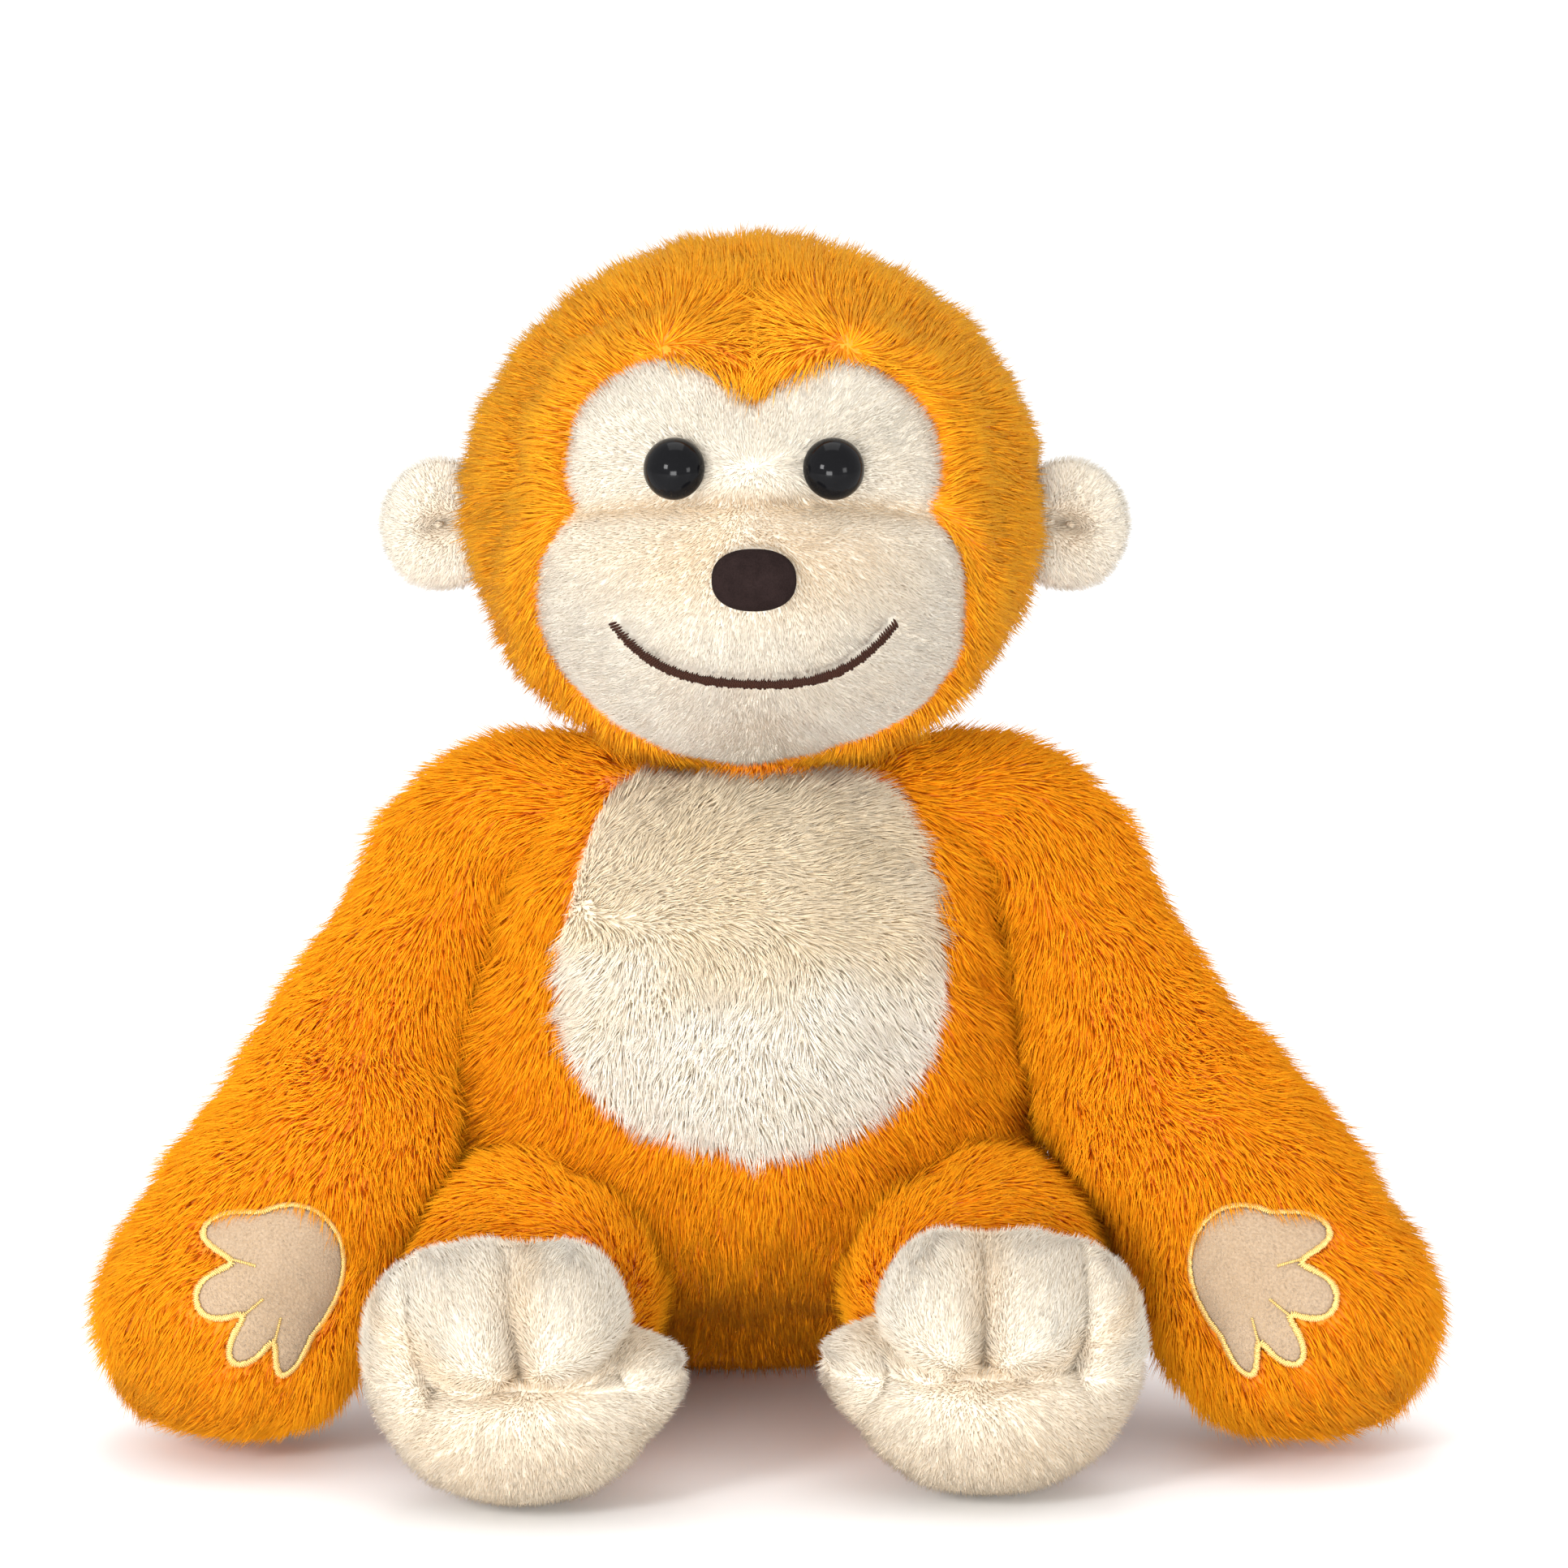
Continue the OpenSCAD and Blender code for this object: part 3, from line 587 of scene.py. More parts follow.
# ---------- finishes ----------


@dataclass(frozen=True)
class FurFinish:
    """Polyester pile whose colour runs from a darker root to a lighter tip, painted shade deep in the pile
    and a painted highlight on the tips, with a soft sheen.

    Attributes:
        name: the material's name.
        root: colour at the root, darkened as painted shade.
        tip: colour at the tip, lightened as a painted highlight.
        shade: colour of the darker strands.
        patch: the second colour, which a broad cloud and a mark of real dye and painted shade bring in.
        sheen: weight of the sheen.
    """

    name: str
    root: Colour
    tip: Colour
    shade: Colour
    patch: Colour
    sheen: float

    def material(self) -> bpy.types.Material:
        """Builds the strands' material from the marks for rise, tint, and dye with painted shade."""
        shader = Shader(self.name)
        rise = shader.mark("rise")
        tint = shader.mark("tint")
        broad = shader.noise(38.0, 3.0)
        # Root to tip: painted shade at the roots, a painted highlight at the tips.
        along = shader.mixed((rise**0.7).clamped(), self.root, self.tip)
        # Second colour: real dye on some parts, painted shade on others, with a broad random cloud.
        dyed_and_shaded = (shader.mark("dye") + (broad - 0.5) * 0.7).clamped() * 0.85
        drifted = shader.mixed(dyed_and_shaded, along, self.patch)
        # Random darker strands are a tone of their own; the share is stronger at the root, where it adds
        # painted shade.
        darker = (tint**2.5) * (1.0 - rise * 0.5) * 0.5
        colour = shader.mixed(darker, drifted, self.shade)
        fibre = shader.noise(2600.0, 2.0, (1.0, 1.0, 0.25))
        return shader.finished(
            {
                "Base Color": colour,
                "Roughness": (0.5 + 0.25 * tint + 0.1 * fibre).clamped(),
                "Normal": shader.raised(fibre, 0.00008, 0.4),
                "Sheen Weight": self.sheen,
                "Sheen Roughness": 0.45,
                "Sheen Tint": (*self.tip, 1.0),
                "Specular IOR Level": 0.12,
            }
        )


@dataclass(frozen=True)
class BackingFinish:
    """Knitted backing cloth under the pile, dyed like its roots.

    Attributes:
        name: the material's name.
        colour: the cloth's colour.
        dark: the colour between the loops.
        panel: the colour of a panel that is sewn into it where the mark "panel" is 1, or None.
    """

    name: str
    colour: Colour
    dark: Colour
    panel: Optional[Colour] = None

    def material(self) -> bpy.types.Material:
        """Builds the cloth: rows of small loops, in colour and in height."""
        shader = Shader(self.name)
        sockets = {"Vector": shader.place(), "Scale": 1100.0, "Randomness": 0.75}
        loops = Value(shader, shader.node("ShaderNodeTexVoronoi", {}, sockets).outputs["Distance"])
        cloud = shader.noise(60.0, 4.0)
        share = (loops * 0.9 + (cloud - 0.5) * 0.8).clamped()
        cloth = shader.mixed(share, self.colour, self.dark)
        if self.panel is not None:
            cloth = shader.mixed(shader.mark("panel"), cloth, self.panel)
        return shader.finished(
            {
                "Base Color": cloth,
                "Roughness": (0.8 + 0.15 * cloud).clamped(),
                "Normal": shader.raised(1.0 - loops, 0.0003, 0.7),
                "Sheen Weight": 0.3,
            }
        )


@dataclass(frozen=True)
class ThreadFinish:
    """Embroidery thread: fine twisted plies, plain or metallic.

    Attributes:
        name: the material's name.
        light: colour of a ply's crown.
        dark: colour between the plies.
        metal: metallic share.
        rough: mean roughness.
    """

    name: str
    light: Colour
    dark: Colour
    metal: float
    rough: float

    def material(self) -> bpy.types.Material:
        """Builds the thread from a tight band pattern that is broken up by noise."""
        shader = Shader(self.name)
        turned = shader.node(
            "ShaderNodeTexWave",
            {"wave_type": "BANDS", "bands_direction": "DIAGONAL"},
            {"Vector": shader.place(), "Scale": 900.0, "Distortion": 3.0, "Detail": 2.0},
        )
        plies = Value(shader, turned.outputs["Fac"])
        wear = shader.noise(420.0, 3.0)
        return shader.finished(
            {
                "Base Color": shader.mixed((plies * 0.55 + wear * 0.45).clamped(), self.dark, self.light),
                "Roughness": (self.rough + 0.25 * (wear - 0.5)).clamped(),
                "Normal": shader.raised(plies, 0.00012, 0.6),
                "Metallic": self.metal,
                "Specular IOR Level": 0.15,
            }
        )


@dataclass(frozen=True)
class ShellFinish:
    """Hard or flocked moulding: a faint cloud of colour, dust-fine grain and an optional clear coat.

    Attributes:
        name: the material's name.
        colour: main colour.
        cloud: second colour.
        rough: mean roughness.
        grain: depth of the grain, in metres.
        grain_scale: grains on each metre.
        coat: weight of the clear coat.
        sheen: weight of the sheen.
        specular: strength of the reflection.
    """

    name: str
    colour: Colour
    cloud: Colour
    rough: float
    grain: float
    grain_scale: float
    coat: float
    sheen: float
    specular: float

    def material(self) -> bpy.types.Material:
        """Builds the moulding."""
        shader = Shader(self.name)
        cloud = shader.noise(260.0, 4.0)
        grain = shader.noise(self.grain_scale, 3.0)
        return shader.finished(
            {
                "Base Color": shader.mixed((cloud * 0.5 + grain * 0.5).clamped(), self.colour, self.cloud),
                "Roughness": (self.rough + 0.12 * (cloud - 0.5)).clamped(),
                "Normal": shader.raised(grain, self.grain, 0.5),
                "Coat Weight": self.coat,
                "Coat Roughness": 0.04,
                "Sheen Weight": self.sheen,
                "Sheen Roughness": 0.4,
                "Specular IOR Level": self.specular,
            }
        )


Finish = Union[FurFinish, BackingFinish, ThreadFinish, ShellFinish]

# The hood's orange is a lit copy of the body's orange fur below: lighter and yellower as painted light from
# the upper left.
LIT_HOOD_FUR = FurFinish(
    "hood fur lit", (0.86, 0.29, 0.003), (0.94, 0.46, 0.02), (0.76, 0.22, 0.002), (0.92, 0.37, 0.008), 0.04
)
ORANGE_FUR = FurFinish(
    "orange fur", (0.87, 0.24, 0.001), (0.93, 0.39, 0.006), (0.74, 0.18, 0.0008), (0.9, 0.3, 0.002), 0.01
)
CREAM_FUR = FurFinish(
    "cream fur", (0.79, 0.72, 0.61), (0.85, 0.8, 0.71), (0.73, 0.64, 0.51), (0.76, 0.57, 0.36), 0.03
)
BIB_FUR = FurFinish(
    "bib fur", (0.84, 0.76, 0.63), (0.95, 0.9, 0.82), (0.74, 0.64, 0.48), (0.82, 0.66, 0.43), 0.06
)
# The head's backing carries the hood's lit copy of the orange, painted light; its panel is the cream face.
LIT_HEAD_BACKING = BackingFinish("head backing lit", (0.86, 0.3, 0.005), (0.76, 0.23, 0.003), (0.79, 0.73, 0.62))
TORSO_BACKING = BackingFinish("torso backing", (0.85, 0.25, 0.002), (0.72, 0.185, 0.001), (0.84, 0.76, 0.62))
ORANGE_BACKING = BackingFinish("orange backing", (0.85, 0.25, 0.002), (0.72, 0.185, 0.001))
CREAM_BACKING = BackingFinish("cream backing", (0.8, 0.73, 0.61), (0.72, 0.63, 0.5))
PALM_BACKING = BackingFinish("palm backing", (0.41, 0.3, 0.2), (0.35, 0.24, 0.14))
VELOUR_PILE = FurFinish(
    "palm velour", (0.41, 0.3, 0.2), (0.5, 0.4, 0.3), (0.36, 0.25, 0.15), (0.43, 0.3, 0.18), 0.03
)
GOLD_THREAD = ThreadFinish("gold thread", (0.95, 0.72, 0.3), (0.62, 0.38, 0.1), 0.45, 0.42)
BROWN_THREAD = ThreadFinish("brown thread", (0.05, 0.016, 0.008), (0.016, 0.006, 0.004), 0.0, 0.7)
ORANGE_THREAD = ThreadFinish("orange thread", (0.85, 0.3, 0.02), (0.6, 0.16, 0.01), 0.0, 0.6)
EYE_PLASTIC = ShellFinish(
    "eye plastic", (0.003, 0.003, 0.0035), (0.006, 0.006, 0.007), 0.09, 0.000003, 900.0, 0.0, 0.0, 0.1
)
NOSE_FLOCK = ShellFinish(
    "nose flock", (0.001, 0.0006, 0.0005), (0.034, 0.021, 0.02), 0.95, 0.0005, 2200.0, 0.0, 0.0, 0.03
)
WASHER_PLASTIC = ShellFinish(
    "washer plastic", (0.86, 0.86, 0.84), (0.8, 0.8, 0.77), 0.5, 0.00003, 1500.0, 0.0, 0.0, 0.5
)
BAG_CLOTH = BackingFinish("bag cloth", (0.8, 0.8, 0.78), (0.6, 0.6, 0.58))


class Wardrobe:
    """Materials, made once for each finish."""

    def __init__(self) -> None:
        """Starts with nothing made."""
        self._made: dict[str, bpy.types.Material] = {}

    def get(self, finish: Finish) -> bpy.types.Material:
        """The material of a finish."""
        if finish.name not in self._made:
            self._made[finish.name] = finish.material()
        return self._made[finish.name]


WARDROBE = Wardrobe()


def make_piece(name: str, form: Form, finish: Finish) -> bpy.types.Object:
    """Puts a shape into a smooth mesh object in metres, at the origin, and dresses it.

    Args:
        name: name of the piece.
        form: its shape, in millimetres.
        finish: its finish.

    Returns:
        The object.
    """
    mesh = bpy.data.meshes.new(name)
    loops = np.concatenate([form.tris.ravel(), form.quads.ravel()]).astype(np.int32)
    sizes = np.concatenate([np.full(len(form.tris), 3), np.full(len(form.quads), 4)])
    mesh.vertices.add(len(form.points))
    mesh.vertices.foreach_set("co", (form.points * MM).astype(np.float32).ravel())
    mesh.loops.add(len(loops))
    mesh.loops.foreach_set("vertex_index", loops)
    mesh.polygons.add(len(sizes))
    mesh.polygons.foreach_set("loop_start", (np.cumsum(sizes) - sizes).astype(np.int32))
    mesh.polygons.foreach_set("use_smooth", np.ones(len(sizes), bool))
    mesh.update(calc_edges=True)
    for key, numbers in form.marks.items():
        mesh.attributes.new(key, "FLOAT", "POINT").data.foreach_set("value", numbers.astype(np.float32))
    if form.chart is not None:
        layer = mesh.uv_layers.new(name="OFBake")
        layer.data.foreach_set("uv", form.chart[loops].astype(np.float32).ravel())
    mesh.materials.append(WARDROBE.get(finish))
    piece = bpy.data.objects.new(name, mesh)
    bpy.context.scene.collection.objects.link(piece)
    LOG.info("%s: %d points, %d faces", name, len(form.points), len(sizes))
    return piece


def dress_node(node: str, finish: Finish) -> None:
    """Gives a carried-over CAD node its finish."""
    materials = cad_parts[node].data.materials
    materials.clear()
    materials.append(WARDROBE.get(finish))


# ---------- head ----------


@dataclass
class Head:
    """The round head: orange hood, cream brow and muzzle, eyes, nose and smile.

    Attributes:
        centre: centre of the head.
        half: half width, depth and height.
        tilt: how far the face looks up, in degrees.
        muzzle_out: how far the muzzle stands out.
        edge: bearing and angle of the face's edge, one half of it.
        eye_at: angle and bearing of the left eye.
        nose_at: angle and bearing of the nose.
        eye_half: radius of an eye.
        nose_half: half width and height of the nose.
        inset: how far the backing lies under the pile's mean surface.
        sight: reach that turns a direction on the face into millimetres.
    """

    centre: Array = field(default_factory=lambda: np.array([0.0, BODY_Y - 2.0, 233.0]))
    half: Array = field(default_factory=lambda: np.array([73.0, 66.0, 67.0]))
    tilt: float = 9.4
    muzzle_out: float = 12.0
    edge: tuple = (
        (-90, 80), (-80, 78), (-70, 72), (-58, 69), (-48, 67), (-40, 65), (-33, 62), (-25, 56), (-18, 52.3),
        (-10, 47), (-3, 41.5), (3, 41.5), (9, 44), (18, 46.5), (28, 47.5), (38, 46.3), (51, 44), (61, 41),
        (73, 33), (90, 26),
    )  # fmt: skip
    eye_at: tuple[float, float] = (19.9, 29.5)
    nose_at: tuple[float, float] = (11.5, -90.0)
    eye_half: float = 7.8
    nose_half: tuple[float, float] = (10.5, 7.9)
    inset: float = 3.4
    sight: float = 70.0

    def sight_of(self, directions: Array) -> tuple[Array, Array]:
        """Directions on the face as millimetres to the right and up from its middle."""
        t = np.radians(self.tilt)
        upward = np.array([0.0, np.sin(t), np.cos(t)])
        return directions[..., 0] * self.sight, (directions @ upward) * self.sight

    def face_share(self, directions: Array) -> Array:
        """1 on the cream face and 0 on the orange hood, with a narrow step between."""
        angle, bearing = polar_of(self.tilt, directions)
        return 1.0 - smooth_step(-1.2, 1.2, angle - half_outline(self.edge, bearing))

    def reach(self, directions: Array) -> Array:
        """Distance from the head's centre to its fabric.

        It is the ellipsoid, with a bell-shaped muzzle, a seam pressed in above it and a hood that stands a
        little out round the face.
        """
        base = ray_out(self.centre, directions, self.centre, self.half)
        x, z = self.sight_of(directions)
        ahead = polar_of(self.tilt, directions)[0] < 90.0
        muzzle = self.muzzle_out * np.exp(-((x / 46.0) ** 2) - ((z + 30.0) / 27.0) ** 2)
        cheeks = 3.2 * np.exp(-((x / 40.0) ** 2) - ((z + 12.0) / 13.0) ** 2)
        muzzle = muzzle * smooth_step(6.0, -10.0, z) + cheeks
        seam = 3.4 * bump(z - 3.0 + 0.0018 * x * x, 3.4) * smooth_step(50.0, 40.0, np.abs(x))
        face = self.face_share(directions)
        angle, bearing = polar_of(self.tilt, directions)
        off = angle - half_outline(self.edge, bearing)
        rim = 2.6 * bump(off - 7.0, 7.0) * (1.0 - face) - 1.5 * bump(off, 2.4)
        lumps = 0.8 * Drift(46.0, 71)(directions * self.sight)[..., 0]
        soft = np.where(ahead, muzzle - seam * face, 0.0)
        return base - self.inset + soft + rim + lumps + face * 1.2

    def point(self, angle: Array, bearing: Array, lift: float = 0.0) -> Array:
        """A point on the head's fabric, or above it by lift."""
        directions = polar(self.tilt, np.asarray(angle, float), np.asarray(bearing, float))
        return self.centre + directions * (self.reach(directions) + lift)[..., None]

    def skin(self) -> Form:
        """The whole head as one closed surface, from the face's middle to the back."""
        return closed_ball(self.point, 96, 124, 1.5)

    def smile_line(self, steps: int) -> Array:
        """Points of the smile, from cheek to cheek: z = -37.4 + 11.7 (|x| / 31.8)^3."""
        x = np.linspace(-32.3, 32.3, steps)
        z = -37.4 + 11.7 * np.abs(x / 31.8) ** 3.0
        angle = np.degrees(np.arcsin(np.hypot(x, z) / self.sight))
        return self.point(angle, np.degrees(np.arctan2(z, x)), 2.9)

    def keep_off(self, points: Array) -> Array:
        """0 under the eyes, the nose and the smile, and 1 elsewhere."""
        near = np.ones(len(points))
        for bearing in (self.eye_at[1], 180.0 - self.eye_at[1]):
            eye = self.point(self.eye_at[0], bearing)
            near *= smooth_step(5.6, 8.4, np.linalg.norm(points - eye, axis=1))
        nose = self.point(*self.nose_at)
        gap = (points - nose) / (self.nose_half[0], 12.0, self.nose_half[1])
        near *= smooth_step(0.78, 1.12, np.linalg.norm(gap, axis=1))
        line = self.smile_line(90)
        off = points[:, None] - line[None]
        nearest = np.sqrt(np.min(np.sum(off * off, axis=-1), axis=1))
        return near * (0.2 + 0.8 * smooth_step(2.9, 4.2, nearest))

    def face_length(self, points: Array) -> Array:
        """Length of the face's pile: short beside the seam and none off the face."""
        directions = unit(points - self.centre)
        _, z = self.sight_of(directions)
        front = polar_of(self.tilt, directions)[0] < 100.0
        return self.face_share(directions) * self.keep_off(points) * (1.0 - 0.15 * bump(z - 2.0, 4.0)) * front

    def face_dye_and_seam_shade(self, points: Array) -> Array:
        """The cream is warmer on the upper muzzle, round the nose and out to the cheeks, and along the seam
        under the eyes, where it is painted shade in the crease.
        """
        x, z = self.sight_of(unit(points - self.centre))
        muzzle = 0.95 * np.exp(-((x / 38.0) ** 2) - ((z + 10.0) / 13.0) ** 2)
        # The bell along the seam is painted shade in its crease; the muzzle's warmth is the cream's own tone.
        return np.minimum(muzzle + 0.8 * bump(z - 3.0 + 0.0018 * x * x, 3.0) + 0.04, 1.0)

    def hood_length(self, points: Array) -> Array:
        """Length of the hood's pile: none on the face, short where the neck is sewn."""
        directions = unit(points - self.centre)
        neck = smooth_step(-0.97, -0.8, directions[:, 2])
        return (1.0 - self.face_share(directions)) * (0.35 + 0.65 * neck)

    def hood_comb(self, points: Array) -> Array:
        """The hood is brushed back from the face, down behind, and to a point in the notch of the brow."""
        directions = unit(points - self.centre)
        t = np.radians(self.tilt)
        ahead = np.array([0.0, -np.cos(t), np.sin(t)])
        back = smooth_step(-0.3, 0.6, directions[:, 1:2])
        x, z = self.sight_of(directions)
        notch = (smooth_step(30.0, 8.0, np.abs(x)) * smooth_step(68.0, 44.0, z))[:, None]
        pointed = np.stack([-x * 0.09, np.zeros_like(x), np.full_like(x, -1.0)], -1)
        swept_back = -ahead * (1.0 - back) - UP * (0.2 + 0.8 * back)
        return swept_back * (1.0 - notch) + pointed * notch

    def face_comb(self, points: Array) -> Array:
        """The face is brushed outwards: down on the muzzle and up towards the top of the brow."""
        x, z = self.sight_of(unit(points - self.centre))
        return np.stack([x / 34.0, np.zeros_like(x), -0.55 + 1.7 * smooth_step(0.0, 34.0, z)], -1)

    def stud(self, at: tuple[float, float], sizes: Array, lift: float, boxy: float = 2.0) -> Form:
        """A closed dome that stands on the face.

        Each point is centre + (side * a cos f + upward * b sin f) q sin t + axis * c cos t, with c halved
        behind and q = (|cos f|^n + |sin f|^n)^(-1/n), which is 1 for an oval.

        Args:
            at: angle and bearing of its middle.
            sizes: half width, half height and depth.
            lift: how far its middle stands off the fabric.
            boxy: the power n; more than 2 squares the outline.

        Returns:
            The dome.
        """
        axis = polar(self.tilt, np.array(at[0]), np.array(at[1]))
        middle = self.point(at[0], at[1], lift)
        side = unit(np.cross(UP, axis))
        upward = np.cross(axis, side)
        t, f = np.meshgrid(np.linspace(4, 176, 34), np.linspace(0, 360, 48, endpoint=False), indexing="ij")
        t, f = np.radians(t)[..., None], np.radians(f)[..., None]
        ahead = np.where(np.cos(t) > 0.0, np.cos(t), 0.45 * np.cos(t))
        square = (np.abs(np.cos(f)) ** boxy + np.abs(np.sin(f)) ** boxy) ** (-1.0 / boxy)
        rows = (side * np.cos(f) * sizes[0] + upward * np.sin(f) * sizes[1]) * np.sin(t) * square
        rows = rows + axis * ahead * sizes[2]
        ends = (middle + axis * sizes[2], middle - axis * 0.45 * sizes[2])
        return capped_grid(middle + rows, *ends)

    def smile(self) -> Form:
        """Satin stitches that cross the smile's line, with uneven ends."""
        rng = np.random.default_rng(11)
        line = self.smile_line(130)
        along = unit(np.gradient(line, axis=0))
        normals = unit(line - self.centre)
        across = unit(np.cross(normals, along) + along * 0.35)
        return spindles(line, across, normals, rng.uniform(2.6, 4.2, len(line)), 0.8)

    def build(self) -> None:
        """Makes the head's pieces and lets them ride on it."""
        skin = self.skin()
        skin.marks["panel"] = self.face_share(unit(skin.points - self.centre))
        cloth = make_piece("head_skin", skin, LIT_HEAD_BACKING)
        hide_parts("head_cover", "head_filling")
        hood = grown(skin, HOOD, self.hood_comb, self.hood_length, 101)
        pieces = [cloth]
        for side in Side:
            part = strands_where(hood, lambda p, s=side: p[:, 0] * s.value >= 0.0)
            pieces.append(make_piece(f"hood_pile_{side.label}", part, LIT_HOOD_FUR))
        face = grown(skin, NAP, self.face_comb, self.face_length, 131, self.face_dye_and_seam_shade)
        split = [("brow_pile", "brow_panel", True), ("muzzle_pile", "muzzle_panel", False)]
        for name, node, above in split:
            part = strands_where(
                face, lambda p, a=above: (self.sight_of(unit(p - self.centre))[1] > 0.5) == a
            )
            piece = make_piece(name, part, CREAM_FUR)
            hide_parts(node)
            pieces.append(piece)
        for side, bearing in ((Side.LEFT, self.eye_at[1]), (Side.RIGHT, 180.0 - self.eye_at[1])):
            sizes = np.array([self.eye_half, self.eye_half, self.eye_half * 0.92])
            form = self.stud((self.eye_at[0], bearing), sizes, 2.4)
            piece = make_piece(f"{side.label}_eye_dome", form, EYE_PLASTIC)
            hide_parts(f"{side.label}_eye")
            pieces.append(piece)
            dress_node(f"{side.label}_eye_washer", WASHER_PLASTIC)
        form = self.stud(self.nose_at, np.array([*self.nose_half, 6.2]), 2.6, 2.35)
        piece = make_piece("nose_dome", form, NOSE_FLOCK)
        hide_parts("nose")
        pieces.append(piece)
        dress_node("nose_washer", WASHER_PLASTIC)
        piece = make_piece("smile_stitches", self.smile(), BROWN_THREAD)
        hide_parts("smile_thread")
        pieces.append(piece)
        for piece in pieces:
            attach(piece, "head")


def strands_where(pile: Form, test: Field) -> Form:
    """The strands whose roots pass a test."""
    keep = test(pile.points[::4])
    points = pile.points.reshape(-1, 4, 3)[keep].reshape(-1, 3)
    marks = {n: m.reshape(-1, 4)[keep].ravel() for n, m in pile.marks.items()}
    count = int(keep.sum())
    return Form(points, pile.tris[: count * 4], pile.quads, marks, strand_chart(count))


# ---------- ears ----------


@dataclass
class Ear:
    """A round, flat, cupped ear with a fold that runs out from the head.

    Attributes:
        side: which ear it is.
        centre: its middle, on the left side.
        half: half width, depth and height.
    """

    side: Side
    centre: Array = field(default_factory=lambda: np.array([79.0, BODY_Y + 4.0, 225.0]))
    half: Array = field(default_factory=lambda: np.array([14.5, 4.6, 16.0]))

    def skin(self) -> Form:
        """A flattened ball whose front is dished and pinched along a fold."""
        t, f = np.meshgrid(np.linspace(3, 177, 60), np.linspace(0, 360, 72, endpoint=False), indexing="ij")
        t, f = np.radians(t), np.radians(f)
        x = np.sin(t) * np.cos(f)
        z = np.sin(t) * np.sin(f)
        puff = np.sign(np.cos(t)) * np.abs(np.cos(t)) ** 0.75
        dish = 0.95 * np.exp(-((x + 0.1) ** 2 + z**2) / 0.22)
        dish = dish + 0.7 * bump(z + 0.12 * x, 0.14) * smooth_step(0.75, 0.0, x)
        y = -puff + np.where(puff > 0.0, dish * puff, 0.0)
        rows = self.centre + np.stack([x, y, z], -1) * self.half
        ends = np.array([[0.0, -0.05, 0.0], [0.0, 1.0, 0.0]]) * self.half + self.centre
        return capped_grid(rows, *ends)

    def build(self) -> None:
        """Makes the ear and lets it ride on its body."""
        skin = self.skin()
        name = self.side.label
        cloth = make_piece(f"{name}_ear_skin", skin.on_side(self.side), CREAM_BACKING)
        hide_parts(f"{name}_ear_front", f"{name}_ear_back")
        pile = grown(
            skin,
            NAP,
            lambda p: (p - self.centre) * (1.0, 0.2, 1.0) + (6.0, 0.0, 0.0),
            lambda p: np.full(len(p), 0.9),
            151,
            lambda p: 0.6 * smooth_step(9.0, 2.0, np.linalg.norm(p - self.centre, axis=1)),
        )
        fur = make_piece(f"{name}_ear_pile", pile.on_side(self.side), CREAM_FUR)
        for piece in (cloth, fur):
            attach(piece, f"{name}_ear")


# ---------- torso and neck ----------


